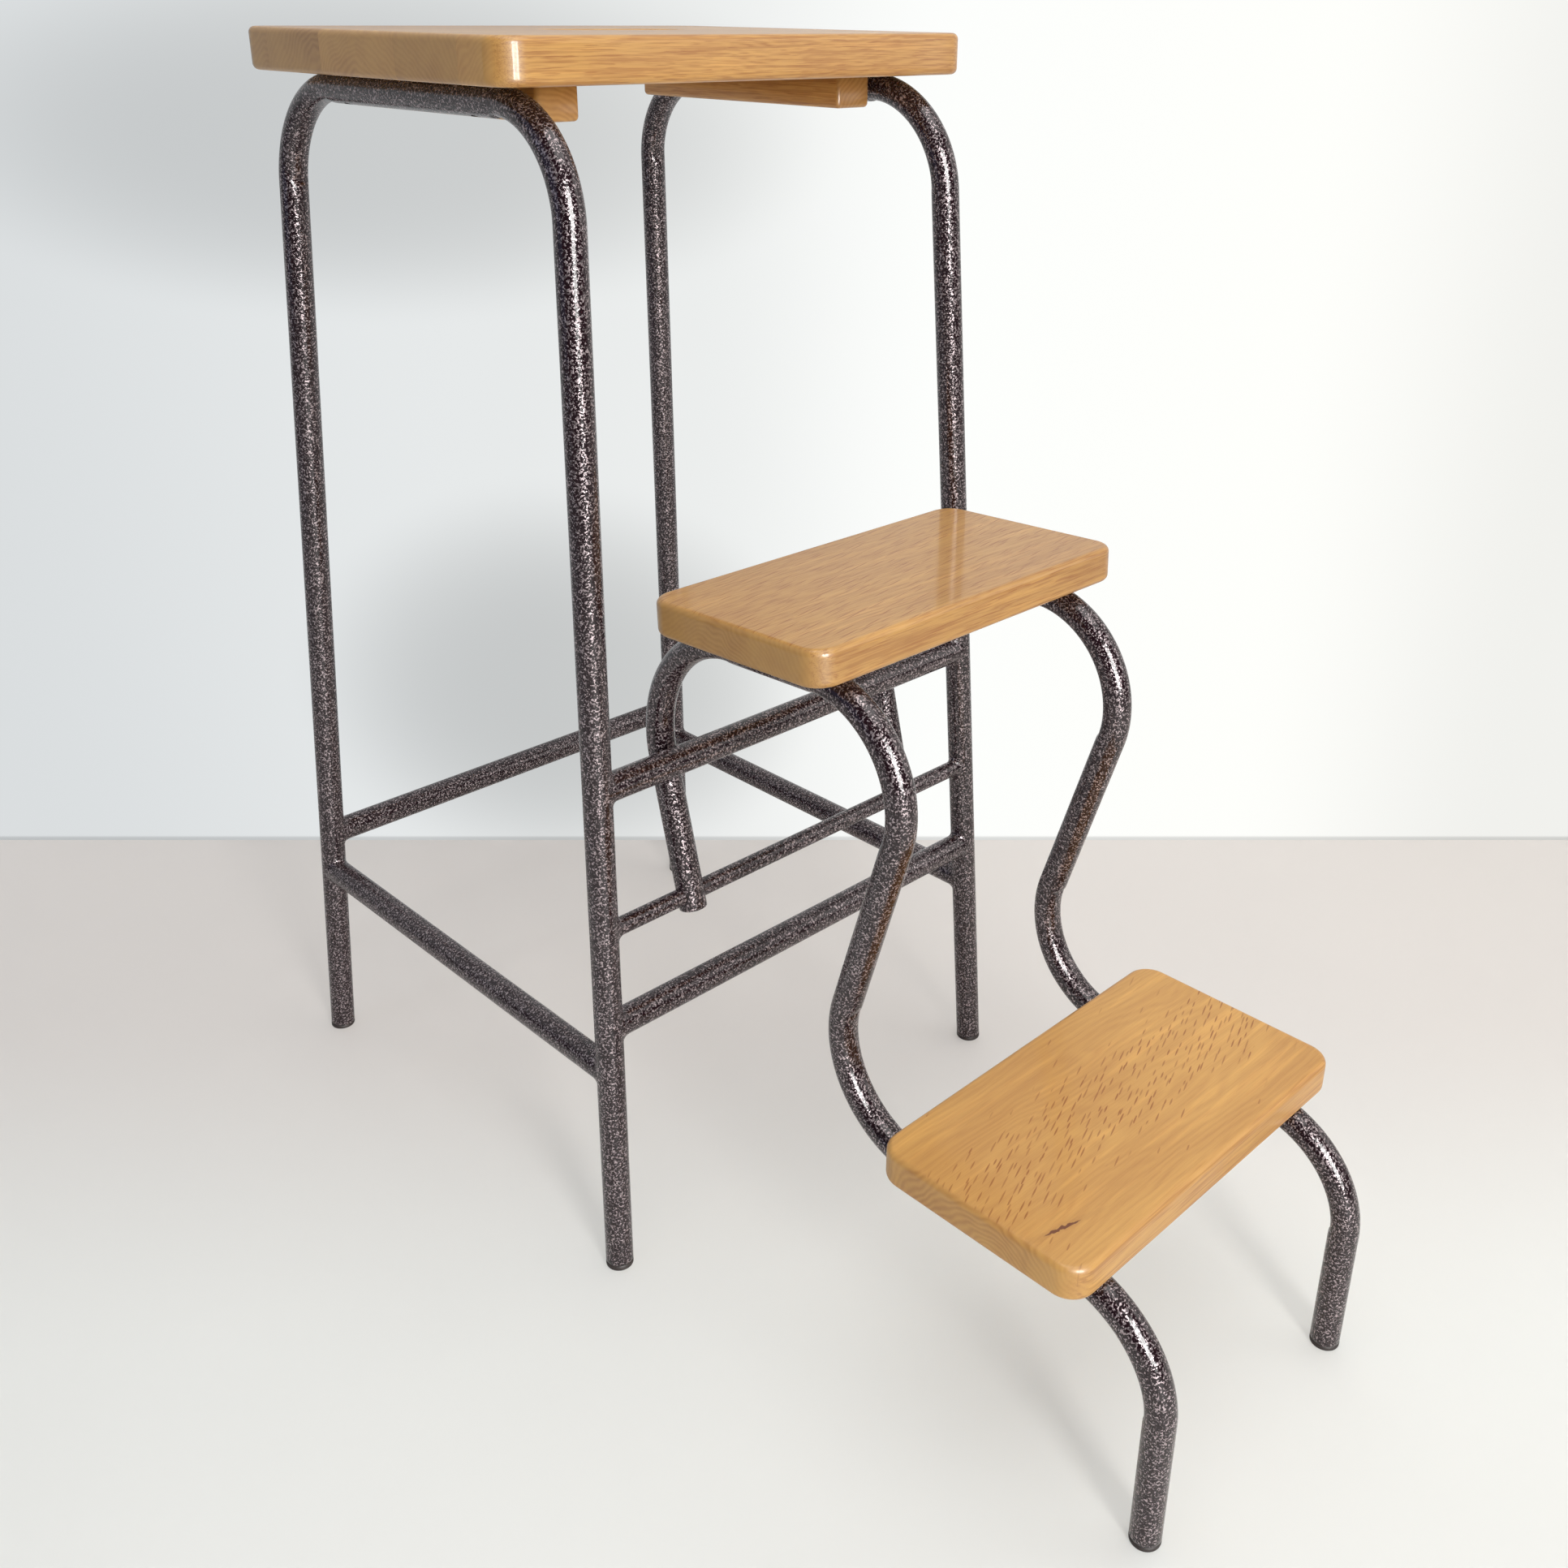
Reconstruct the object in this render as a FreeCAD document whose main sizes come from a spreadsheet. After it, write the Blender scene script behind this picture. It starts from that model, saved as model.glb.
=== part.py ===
import FreeCAD, Part

import math
import os
import re

import Sketcher
from FreeCAD import Placement, Rotation, Vector

# Folding step stool chair: two bent tube side frames under an oak seat, and a step unit of two bent
# tubes and two oak boards that turns about a rod between the front legs.
# Frame of the part: +X to the right seen from the front, the steps reach towards -Y, +Z up,
# origin on the floor below the middle of the whole object's box. The stool's own middle lies
# frame_y behind the origin.

doc = FreeCAD.newDocument("folding_step_stool")
sheet = doc.addObject("Spreadsheet::Sheet", "sizes")

# Driving dimensions in millimetres and degrees
DRIVING = (
    ("tube_dia", 19.0, "outer diameter of every bent and straight tube"),
    ("tube_wall", 1.5, "wall of the tubes"),
    ("bend_radius", 67.0, "centreline radius of the tube bends"),
    ("shoulder_radius", 80.0, "centreline radius of the step tube's bend above the pivot"),
    ("rod_dia", 12.0, "solid pivot rod"),
    ("foot_half_x", 187.0, "leg centre on the floor from the middle, sideways"),
    ("foot_half_y", 193.0, "leg centre on the floor from the middle, front to back"),
    ("side_lean", 2.55, "inward lean of each side frame"),
    ("leg_lean", 2.9, "lean of each leg towards the middle, seen from the side"),
    ("seat_height", 792.5, "floor to seat top"),
    ("seat_width", 373.0, "seat board, sideways"),
    ("seat_depth", 295.0, "seat board, front to back"),
    ("seat_thick", 26.0, "seat board"),
    ("seat_corner", 18.0, "plan radius of the seat corners"),
    ("board_edge", 4.0, "rounding of all board edges"),
    ("slot_length", 105.0, "hand slot, sideways"),
    ("slot_width", 34.0, "hand slot, front to back"),
    ("batten_width", 30.0, "seat batten, sideways"),
    ("batten_thick", 21.5, "seat batten, height"),
    ("batten_length", 208.0, "seat batten, front to back"),
    ("batten_gap", 8.0, "between batten and tube run"),
    ("batten_edge", 3.0, "rounding of the batten's lower edges"),
    ("upper_bar_height", 357.0, "front upper bar centre"),
    ("rod_height", 258.0, "pivot rod centre"),
    ("lower_bar_height", 188.0, "front lower bar centre"),
    ("rear_bar_height", 187.0, "rear bar centre"),
    ("side_bar_height", 154.0, "side bar centres"),
    ("step_tube_half", 103.0, "step tube centre from the unit's middle"),
    ("step_width", 275.0, "step boards, sideways"),
    ("step_depth", 148.5, "step boards, front to back"),
    ("step_thick", 23.0, "step boards"),
    ("step_corner", 16.5, "plan radius of the step corners"),
    ("upper_step_height", 485.0, "floor to the middle of the upper step's top"),
    ("lower_step_height", 191.0, "floor to the lower step's top"),
    ("upper_run_rise", 2.6, "rise of the upper run towards its front bend"),
    ("upper_step_reach", 261.5, "upper step's middle before the stool's middle"),
    ("lower_step_reach", 461.2, "lower step's middle before the stool's middle"),
    ("upper_knee_reach", 392.5, "corner of the upper run and the slanted part"),
    ("lower_knee_reach", 303.0, "corner of the slanted part and the lower run"),
    ("step_foot_reach", 574.5, "step foot before the stool's middle"),
    ("tube_tail", 10.5, "step tube beyond the rod centre"),
    ("rod_clearance", 0.6, "hole over rod, on the diameter"),
    ("stop_clearance", 0.3, "upright to the bar that stops it"),
    ("foot_flange", 3.3, "visible height of the tube plugs"),
    ("foot_stem", 22.0, "length of the plug inside the tube"),
    ("foot_fit", 0.1, "plug stem to tube bore, all round"),
    ("foot_edge", 0.8, "rounding of the plug's lower edge"),
    ("screw_dia", 4.0, "screw shank"),
    ("screw_hole", 4.6, "screw holes through the tubes"),
    ("screw_head_dia", 8.0, "screw head"),
    ("screw_head_height", 2.6, "screw head"),
    ("screw_tip", 4.0, "pointed end of the screw"),
    ("screw_bite", 16.0, "length of the screw inside the wood"),
    ("screw_sink", 3.2, "depth of the batten's screw heads"),
    ("sink_dia", 8.6, "sunk hole for the batten's screw heads"),
    ("pilot_clearance", 0.2, "pilot hole over screw, on the diameter"),
    ("pilot_extra", 0.5, "pilot hole beyond the screw's point"),
    ("weld_gap", 0.05, "coped tube end to the tube it is welded to, and screw head to the bore"),
    ("seat_screw_half_y", 72.0, "seat screws from the middle of the run"),
    ("batten_screw_half_y", 80.0, "batten screws from the middle of the batten"),
    ("access_hole", 9.5, "hole in a tube's lower wall that the screw's head passes"),
    ("screw_margin", 14.0, "step screws from the ends of the tube run's straight stretch"),
    ("cut_over", 1.0, "cutters beyond the face they open"),
)

# Sizes that follow from the driving ones; angles are in degrees
DERIVED = (
    ("tube_rad", "tube_dia / 2"),
    ("bore_rad", "tube_rad - tube_wall"),
    ("rod_rad", "rod_dia / 2"),
    ("lean_x", "tan(side_lean)"),
    ("lean_y", "tan(leg_lean)"),
    ("frame_slope", "1 / cos(side_lean)"),
    ("leg_slope", "sqrt(1 + lean_x ^ 2 + lean_y ^ 2)"),
    ("frame_y", "(step_foot_reach + tube_rad - foot_half_y - tube_rad / cos(leg_lean)) / 2"),
    ("seat_under", "seat_height - seat_thick"),
    ("top_run_height", "seat_under - tube_rad"),
    ("top_run_x", "foot_half_x - top_run_height * lean_x"),
    ("frame_foot_u", "foot_half_y - foot_flange * lean_y"),
    ("frame_foot_v", "foot_flange * frame_slope"),
    ("frame_top_u", "foot_half_y - top_run_height * lean_y"),
    ("frame_top_v", "top_run_height * frame_slope"),
    ("batten_x", "top_run_x - tube_rad - batten_gap - batten_width / 2"),
    ("rod_y", "frame_y - foot_half_y + rod_height * lean_y"),
    ("upper_bar_y", "frame_y - foot_half_y + upper_bar_height * lean_y"),
    ("bar_from_rod_y", "upper_bar_y - rod_y"),
    ("bar_from_rod_z", "upper_bar_height - rod_height"),
    ("bar_from_rod", "sqrt(bar_from_rod_y ^ 2 + bar_from_rod_z ^ 2)"),
    ("upright_lean", "atan(bar_from_rod_y / bar_from_rod_z)"
                     " + asin((tube_dia + stop_clearance) / bar_from_rod)"),
    ("upper_step_y", "frame_y - upper_step_reach"),
    ("lower_step_y", "frame_y - lower_step_reach"),
    ("run_depth", "step_thick + tube_rad"),
    ("upper_run_y", "upper_step_y - run_depth * sin(upper_run_rise)"),
    ("upper_run_z", "upper_step_height - run_depth * cos(upper_run_rise)"),
    ("lower_run_z", "lower_step_height - run_depth"),
    ("run_fall", "tan(upper_run_rise)"),
    ("upright_fall", "tan(upright_lean)"),
    ("tail_y", "rod_y - tube_tail * sin(upright_lean)"),
    ("tail_z", "rod_height - tube_tail * cos(upright_lean)"),
    ("shoulder_z", "(upper_run_z - (rod_y - upper_run_y - rod_height * upright_fall) * run_fall)"
                   " / (1 + upright_fall * run_fall)"),
    ("shoulder_y", "rod_y + (shoulder_z - rod_height) * upright_fall"),
    ("upper_knee_y", "frame_y - upper_knee_reach"),
    ("upper_knee_z", "upper_run_z - (upper_knee_y - upper_run_y) * run_fall"),
    ("lower_knee_y", "frame_y - lower_knee_reach"),
    ("step_foot_y", "frame_y - step_foot_reach"),
    ("slant_lean", "atan((lower_knee_y - upper_knee_y) / (upper_knee_z - lower_run_z))"),
    ("shoulder_tangent", "shoulder_radius * tan((90 + upright_lean / 1 deg - upper_run_rise) / 2)"),
    ("upper_knee_tangent", "bend_radius * tan((90 + slant_lean / 1 deg + upper_run_rise) / 2)"),
    ("lower_knee_tangent", "bend_radius * tan((90 + slant_lean / 1 deg) / 2)"),
    ("upper_screw_rear", "(shoulder_y - upper_run_y) / cos(upper_run_rise)"
                         " - shoulder_tangent - screw_margin"),
    ("upper_screw_front", "(upper_knee_y - upper_run_y) / cos(upper_run_rise)"
                          " + upper_knee_tangent + screw_margin"),
    ("lower_screw_rear", "lower_knee_y - lower_step_y - lower_knee_tangent - screw_margin"),
    ("lower_screw_front", "step_foot_y - lower_step_y + bend_radius + screw_margin"),
    ("head_reach", "sqrt(bore_rad ^ 2 - (screw_head_dia / 2) ^ 2) - weld_gap"),
    ("wall_grip", "tube_rad - head_reach"),
    ("hole_rad", "(rod_dia + rod_clearance) / 2"),
    ("stem_rad", "bore_rad - foot_fit"),
    ("pilot_rad", "(screw_dia + pilot_clearance) / 2"),
)

for row, (alias, value, note) in enumerate(DRIVING, start=1):
    sheet.set("A%d" % row, note)
    sheet.set("B%d" % row, str(value))
    sheet.setAlias("B%d" % row, alias)
for row, (alias, formula) in enumerate(DERIVED, start=len(DRIVING) + 2):
    sheet.set("A%d" % row, alias.replace("_", " "))
    sheet.set("B%d" % row, "=" + formula)
    sheet.setAlias("B%d" % row, alias)
doc.recompute()

ALIASES = {entry[0] for entry in DRIVING + DERIVED}
UP = Vector(0, 0, 1)
ALONG_X = Rotation(Vector(0, 1, 0), 90)
ALONG_Y = Rotation(Vector(1, 0, 0), -90)
SIDES = (("left", -1), ("right", 1))
ENDS = (("front", -1), ("rear", 1))


def size(name):
    """Value of one sheet cell as a plain number."""
    value = sheet.get(name)
    return float(getattr(value, "Value", value))


def linked(expression):
    """The expression with every alias written as a reference to the sheet."""
    return re.sub(r"[a-z_]+", lambda word: ("sizes." if word.group() in ALIASES else "") + word.group(),
                  expression)


def bind(target, **expressions):
    """Bind properties of an object to expressions of the sheet's aliases."""
    for prop, expression in expressions.items():
        target.setExpression(prop, linked(expression))


def place(target, x="0", y="0", z="0", rotation=Rotation()):
    """Put an object at a place bound to the sheet, turned as given."""
    target.Placement = Placement(Vector(), rotation)
    for axis, expression in (("x", x), ("y", y), ("z", z)):
        target.setExpression("Placement.Base." + axis, linked(expression))


def part(kind, name, **expressions):
    """A Part primitive with its sizes bound to the sheet."""
    piece = doc.addObject("Part::" + kind, name)
    bind(piece, **expressions)
    return piece


def cut(name, base, tool):
    piece = doc.addObject("Part::Cut", name)
    piece.Base = base
    piece.Tool = tool
    return piece


def join(name, pieces):
    """Several objects as one tool or one solid."""
    piece = doc.addObject("Part::MultiFuse", name)
    piece.Shapes = pieces
    return piece


def plane(body, role):
    return next(item for item in body.Origin.OriginFeatures if item.Role == role)


def sketch_on(body, name, role):
    sketch = body.newObject("Sketcher::SketchObject", name)
    sketch.AttachmentSupport = [(plane(body, role), "")]
    sketch.MapMode = "FlatFace"
    return sketch


def dimension(sketch, kind, *where, to):
    """A sketch dimension bound to an expression."""
    index = sketch.addConstraint(Sketcher.Constraint(kind, *where, evaluate(to)))
    sketch.setExpression("Constraints[%d]" % index, linked(to))


def evaluate(expression):
    """Number that an expression of the sheet's aliases stands for."""
    value = sheet.evalExpression(expression)
    return float(getattr(value, "Value", value))


def rounded_rectangle(sketch, width, depth, radius):
    """Closed outline about the sketch origin: four lines and four tangent corner arcs."""
    half_w, half_d, corner = evaluate(width) / 2, evaluate(depth) / 2, evaluate(radius)
    inner_w, inner_d = half_w - corner, half_d - corner
    turns = ((1, -1), (1, 1), (-1, 1), (-1, -1))
    lines, arcs = [], []
    for step, (side, end) in enumerate(turns):
        before = turns[step - 1]
        level = step % 2 == 0
        first = Vector(before[0] * (inner_w if level else half_w), before[1] * (half_d if level else inner_d))
        last = Vector(side * (inner_w if level else half_w), end * (half_d if level else inner_d))
        lines.append(sketch.addGeometry(Part.LineSegment(first, last)))
        centre = Vector(side * inner_w, end * inner_d)
        start = math.radians(90 * step - 90)
        circle = Part.Circle(centre, UP, corner)
        arcs.append(sketch.addGeometry(Part.ArcOfCircle(circle, start, start + math.pi / 2)))
    for step in range(4):
        sketch.addConstraint(Sketcher.Constraint("Tangent", lines[step], 2, arcs[step], 1))
        sketch.addConstraint(Sketcher.Constraint("Tangent", arcs[step], 2, lines[(step + 1) % 4], 1))
        sketch.addConstraint(Sketcher.Constraint("Vertical" if step % 2 else "Horizontal", lines[step]))
    for arc in arcs[1:]:
        sketch.addConstraint(Sketcher.Constraint("Equal", arcs[0], arc))
    sketch.addConstraint(Sketcher.Constraint("Symmetric", lines[0], 1, lines[2], 1, -1, 1))
    dimension(sketch, "Radius", arcs[0], to=radius)
    dimension(sketch, "DistanceX", lines[3], 1, lines[1], 1, to=width)
    dimension(sketch, "DistanceY", lines[0], 1, lines[2], 1, to=depth)


def obround(sketch, length, width):
    """Closed slot outline about the sketch origin: two lines and two half circles."""
    reach, rad = (evaluate(length) - evaluate(width)) / 2, evaluate(width) / 2
    lower = sketch.addGeometry(Part.LineSegment(Vector(-reach, -rad), Vector(reach, -rad)))
    right_end = Part.Circle(Vector(reach, 0), UP, rad)
    right = sketch.addGeometry(Part.ArcOfCircle(right_end, -math.pi / 2, math.pi / 2))
    upper = sketch.addGeometry(Part.LineSegment(Vector(reach, rad), Vector(-reach, rad)))
    left_end = Part.Circle(Vector(-reach, 0), UP, rad)
    left = sketch.addGeometry(Part.ArcOfCircle(left_end, math.pi / 2, 1.5 * math.pi))
    for first, second in ((lower, right), (right, upper), (upper, left), (left, lower)):
        sketch.addConstraint(Sketcher.Constraint("Tangent", first, 2, second, 1))
    sketch.addConstraint(Sketcher.Constraint("Horizontal", lower))
    sketch.addConstraint(Sketcher.Constraint("Symmetric", right, 3, left, 3, -1, 1))
    dimension(sketch, "Radius", right, to=width + " / 2")
    dimension(sketch, "DistanceX", left, 3, right, 3, to=length + " - " + width)


def bent_path(sketch, corners, radii):
    """Open path through corner points given as pairs of expressions, every inner corner rounded by an arc.

    Each inner corner is a construction point that the two lines beside it aim at.
    """
    points = [Vector(evaluate(first), evaluate(second), 0) for first, second in corners]
    starts, ends, arcs = [points[0]], [], []
    for before, corner, after, radius in zip(points, points[1:], points[2:], radii):
        bend = evaluate(radius)
        inward = (before - corner).normalize()
        outward = (after - corner).normalize()
        half_turn = inward.getAngle(outward) / 2
        reach = bend / math.tan(half_turn)
        middle = corner + (inward + outward).normalize() * (bend / math.sin(half_turn) - bend)
        ends.append(corner + inward * reach)
        starts.append(corner + outward * reach)
        arcs.append(Part.Arc(ends[-1], middle, starts[-1]))
    ends.append(points[-1])
    lines = [sketch.addGeometry(Part.LineSegment(start, end)) for start, end in zip(starts, ends)]
    for number, arc in enumerate(arcs):
        geometry = sketch.addGeometry(arc)
        near_start = sketch.getPoint(geometry, 1).distanceToPoint(ends[number]) < size("tube_rad")
        first, last = (1, 2) if near_start else (2, 1)
        corner = sketch.addGeometry(Part.Point(points[number + 1]), True)
        sketch.addConstraint(Sketcher.Constraint("Tangent", lines[number], 2, geometry, first))
        sketch.addConstraint(Sketcher.Constraint("Tangent", geometry, last, lines[number + 1], 1))
        sketch.addConstraint(Sketcher.Constraint("PointOnObject", corner, 1, lines[number]))
        sketch.addConstraint(Sketcher.Constraint("PointOnObject", corner, 1, lines[number + 1]))
        dimension(sketch, "Radius", geometry, to=radii[number])
        dimension(sketch, "DistanceX", -1, 1, corner, 1, to=corners[number + 1][0])
        dimension(sketch, "DistanceY", -1, 1, corner, 1, to=corners[number + 1][1])
    for line, end, corner in ((lines[0], 1, corners[0]), (lines[-1], 2, corners[-1])):
        dimension(sketch, "DistanceX", -1, 1, line, end, to=corner[0])
        dimension(sketch, "DistanceY", -1, 1, line, end, to=corner[1])


def bent_tube(name, corners, radii):
    """Hollow tube swept along a bent path in the body's own YZ plane."""
    body = doc.addObject("PartDesign::Body", name)
    path = sketch_on(body, name + "_path", "YZ_Plane")
    bent_path(path, corners, radii)
    doc.recompute()
    section = body.newObject("Sketcher::SketchObject", name + "_section")
    section.AttachmentSupport = [(path, "Edge1")]
    section.MapMode = "NormalToEdge"
    for radius in ("tube_rad", "bore_rad"):
        ring = section.addGeometry(Part.Circle(Vector(), UP, evaluate(radius)))
        section.addConstraint(Sketcher.Constraint("Coincident", ring, 3, -1, 1))
        dimension(section, "Radius", ring, to=radius)
    pipe = body.newObject("PartDesign::AdditivePipe", name + "_pipe")
    pipe.Profile = section
    pipe.Spine = (path, [])
    return body


def board(name, width, depth, thick, corner, slot=None):
    """Rounded board lying on its body's XY plane with all long edges rounded."""
    body = doc.addObject("PartDesign::Body", name)
    outline = sketch_on(body, name + "_outline", "XY_Plane")
    rounded_rectangle(outline, width, depth, corner)
    if slot:
        obround(outline, *slot)
    pad = body.newObject("PartDesign::Pad", name + "_pad")
    pad.Profile = outline
    bind(pad, Length=thick)
    doc.recompute()
    flat = ["Edge%d" % number for number, edge in enumerate(pad.Shape.Edges, start=1)
            if edge.BoundBox.ZLength < evaluate(thick) / 2]
    rounding = body.newObject("PartDesign::Fillet", name + "_rounding")
    rounding.Base = (pad, flat)
    bind(rounding, Radius="board_edge")
    return body


# Leg envelopes: solid cylinders along the four leg axes, used to cope the bars that are welded to them
def leg_axis(side, end):
    """Placement on the floor at one leg's centre with Z along the leg."""
    foot = Vector(side * size("foot_half_x"), size("frame_y") + end * size("foot_half_y"), 0)
    lean = Vector(-side * size("lean_x"), -end * size("lean_y"), 1)
    return Placement(foot, Rotation(UP, lean))


envelopes = {}
for side_name, side in SIDES:
    for end_name, end in ENDS:
        envelope = part("Cylinder", "%s_%s_envelope" % (end_name, side_name), Radius="tube_rad + weld_gap",
                        Height="upper_bar_height + 2 * tube_dia")
        envelope.Placement = leg_axis(side, end)
        envelopes[side_name, end_name] = envelope
pairs = {}
for end_name, end in ENDS:
    legs = [envelopes[side_name, end_name] for side_name, side in SIDES]
    pairs[end_name] = join(end_name + "_legs", legs)
for side_name, side in SIDES:
    legs = [envelopes[side_name, end_name] for end_name, end in ENDS]
    pairs[side_name] = join(side_name + "_legs", legs)


def bar(name, half_length, radius, bore, legs, rotation, **start):
    """Straight tube or rod from one leg axis to the other, coped to the legs' round sides."""
    piece = part("Cylinder", name + "_bar", Radius=radius, Height="2 * (%s)" % half_length)
    place(piece, rotation=rotation, **start)
    if bore:
        hollow = part("Cylinder", name + "_bore", Radius=bore, Height="2 * (%s)" % half_length)
        place(hollow, rotation=rotation, **start)
        piece = cut(name + "_tube", piece, hollow)
    return cut(name, piece, legs)


nodes = []


def cross_bar(name, height, end_name, end, radius="tube_rad", bore="bore_rad"):
    """Bar along X between the two front or the two rear legs at one height."""
    half_length = "foot_half_x - %s * lean_x" % height
    nodes.append(bar(name, half_length, radius, bore, pairs[end_name], ALONG_X,
                     x="-(%s)" % half_length, z=height,
                     y="frame_y + %d * (foot_half_y - %s * lean_y)" % (end, height)))


cross_bar("front_upper_bar", "upper_bar_height", "front", -1)
cross_bar("front_lower_bar", "lower_bar_height", "front", -1)
cross_bar("rear_bar", "rear_bar_height", "rear", 1)
cross_bar("pivot_rod", "rod_height", "front", -1, radius="rod_rad", bore=None)

for side_name, side in SIDES:
    half_length = "foot_half_y - side_bar_height * lean_y"
    nodes.append(bar(side_name + "_side_bar", half_length, "tube_rad", "bore_rad", pairs[side_name], ALONG_Y,
                     x="%d * (foot_half_x - side_bar_height * lean_x)" % side,
                     y="frame_y - (%s)" % half_length, z="side_bar_height"))


def screw(name, grip):
    """One pan head screw along Z, the seat of its head at the origin."""
    head = part("Cylinder", name + "_head", Radius="screw_head_dia / 2", Height="screw_head_height")
    place(head, z="-screw_head_height")
    shank = part("Cylinder", name + "_shank", Radius="screw_dia / 2",
                 Height="%s + screw_bite - screw_tip" % grip)
    tip = part("Cone", name + "_tip", Radius1="screw_dia / 2", Radius2="0", Height="screw_tip")
    place(tip, z="%s + screw_bite - screw_tip" % grip)
    doc.recompute()
    return head.Shape.fuse([shank.Shape, tip.Shape]).removeSplitter()


def drill(name, placements, radius, length, start="0"):
    """Round cutters along the screws' axes."""
    cutters = []
    for number, where in enumerate(placements, start=1):
        cutter = part("Cylinder", "%s_%d" % (name, number), Radius=radius, Height="%s - (%s)" % (length, start))
        cutter.Placement = where.multiply(Placement(Vector(0, 0, evaluate(start)), Rotation()))
        cutters.append(cutter)
    return join(name, cutters)


def tube_screw_holes(name, placements):
    """Cutters in a tube run: shank holes in its upper wall and wider holes in its lower wall for the heads."""
    return join(name + "_screw_holes", [
        drill(name + "_shank_hole", placements, "screw_hole / 2", "wall_grip + cut_over", start="-cut_over"),
        drill(name + "_access_hole", placements, "access_hole / 2", "-head_reach - bore_rad / 2",
              start="-head_reach - tube_rad - cut_over")])


def screw_group(name, placements, grip):
    """Separate solids of one kind of screw, one at each placement."""
    single = screw(name, grip)
    copies = []
    for where in placements:
        copies.append(single.transformed(where.Matrix))
    group = doc.addObject("Part::Feature", name)
    group.Shape = Part.makeCompound(copies)
    nodes.append(group)


# Seat board, battens and their screws
def front_and_rear(x, half_y, z):
    """Upright placements before and behind the stool's middle."""
    return [Placement(Vector(x, size("frame_y") + end * half_y, z), Rotation()) for end_name, end in ENDS]


seat_head_z = evaluate("top_run_height + head_reach")
batten_head_z = evaluate("seat_under - batten_thick + screw_sink")
seat_screw_places, batten_screw_places = {}, {}
for side_name, side in SIDES:
    seat_screw_places[side_name] = front_and_rear(side * size("top_run_x"), size("seat_screw_half_y"),
                                                  seat_head_z)
    batten_screw_places[side_name] = front_and_rear(side * size("batten_x"), size("batten_screw_half_y"),
                                                    batten_head_z)
all_seat_screws = seat_screw_places["left"] + seat_screw_places["right"]
all_batten_screws = batten_screw_places["left"] + batten_screw_places["right"]
batten_grip = "(batten_thick - screw_sink)"

seat = board("seat_blank", "seat_width", "seat_depth", "seat_thick", "seat_corner",
             slot=("slot_length", "slot_width"))
place(seat, y="frame_y", z="seat_under")
seat_pilots = join("seat_pilots", [
    drill("seat_pilot", all_seat_screws, "pilot_rad", "wall_grip + screw_bite + pilot_extra"),
    drill("batten_pilot", all_batten_screws, "pilot_rad", batten_grip + " + screw_bite + pilot_extra")])
nodes.append(cut("seat_board", seat, seat_pilots))

for side_name, side in SIDES:
    name = side_name + "_seat_batten"
    blank = part("Box", name + "_blank", Length="batten_width", Width="batten_length", Height="batten_thick")
    place(blank, x="%d * batten_x - batten_width / 2" % side, y="frame_y - batten_length / 2",
          z="seat_under - batten_thick")
    doc.recompute()
    rounded = doc.addObject("Part::Fillet", name + "_rounded")
    rounded.Base = blank
    lower = evaluate("seat_under - batten_thick / 2")
    edge = size("batten_edge")
    rounded.Edges = [(number, edge, edge) for number, item in enumerate(blank.Shape.Edges, start=1)
                     if item.CenterOfMass.z < lower or item.BoundBox.ZLength > evaluate("batten_thick / 2")]
    places = batten_screw_places[side_name]
    holes = join(name + "_holes", [
        drill(name + "_hole", places, "screw_hole / 2", batten_grip + " + cut_over", start="-cut_over"),
        drill(name + "_sink", places, "sink_dia / 2", "0", start="-screw_sink - cut_over")])
    nodes.append(cut(name, rounded, holes))

screw_group("seat_screws", all_seat_screws, "wall_grip")
screw_group("batten_screws", all_batten_screws, batten_grip)

# Side frames, each a bent tube in a plane that leans inward
for side_name, side in SIDES:
    name = side_name + "_side_frame"
    tube = bent_tube(name + "_bend", [("-frame_foot_u", "frame_foot_v"), ("-frame_top_u", "frame_top_v"),
                                      ("frame_top_u", "frame_top_v"), ("frame_foot_u", "frame_foot_v")],
                     ["bend_radius"] * 2)
    place(tube, x="%d * foot_half_x" % side, y="frame_y",
          rotation=Rotation(Vector(0, 1, 0), -side * size("side_lean")))
    nodes.append(cut(name, tube, tube_screw_holes(name, seat_screw_places[side_name])))


def plug(name, where):
    """Moulded plug: a flange of the tube's diameter below the tube's end, cut flat on the floor, and a stem."""
    flange = part("Cylinder", name + "_flange", Radius="tube_rad",
                  Height="foot_flange * leg_slope + tube_rad * (lean_x + lean_y)")
    below_sole = Vector(0, 0, -evaluate("tube_rad * (lean_x + lean_y)"))
    flange.Placement = where.multiply(Placement(below_sole, Rotation()))
    stem = part("Cylinder", name + "_stem", Radius="stem_rad", Height="foot_stem")
    stem.Placement = where.multiply(Placement(Vector(0, 0, evaluate("foot_flange * leg_slope")), Rotation()))
    below = part("Box", name + "_below", Length="4 * tube_dia", Width="4 * tube_dia", Height="tube_dia")
    below.Placement = Placement(where.Base - Vector(2, 2, 1) * size("tube_dia"), Rotation())
    flat = cut(name + "_flat", join(name + "_whole", [flange, stem]), below)
    doc.recompute()
    sole = [number for number, item in enumerate(flat.Shape.Edges, start=1) if abs(item.BoundBox.ZMax) < 0.001]
    rounded = doc.addObject("Part::Fillet", name)
    rounded.Base = flat
    rounded.Edges = [(number, size("foot_edge"), size("foot_edge")) for number in sole]
    nodes.append(rounded)


for side_name, side in SIDES:
    for end_name, end in ENDS:
        plug("%s_%s_foot" % (end_name, side_name), leg_axis(side, end))


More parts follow.
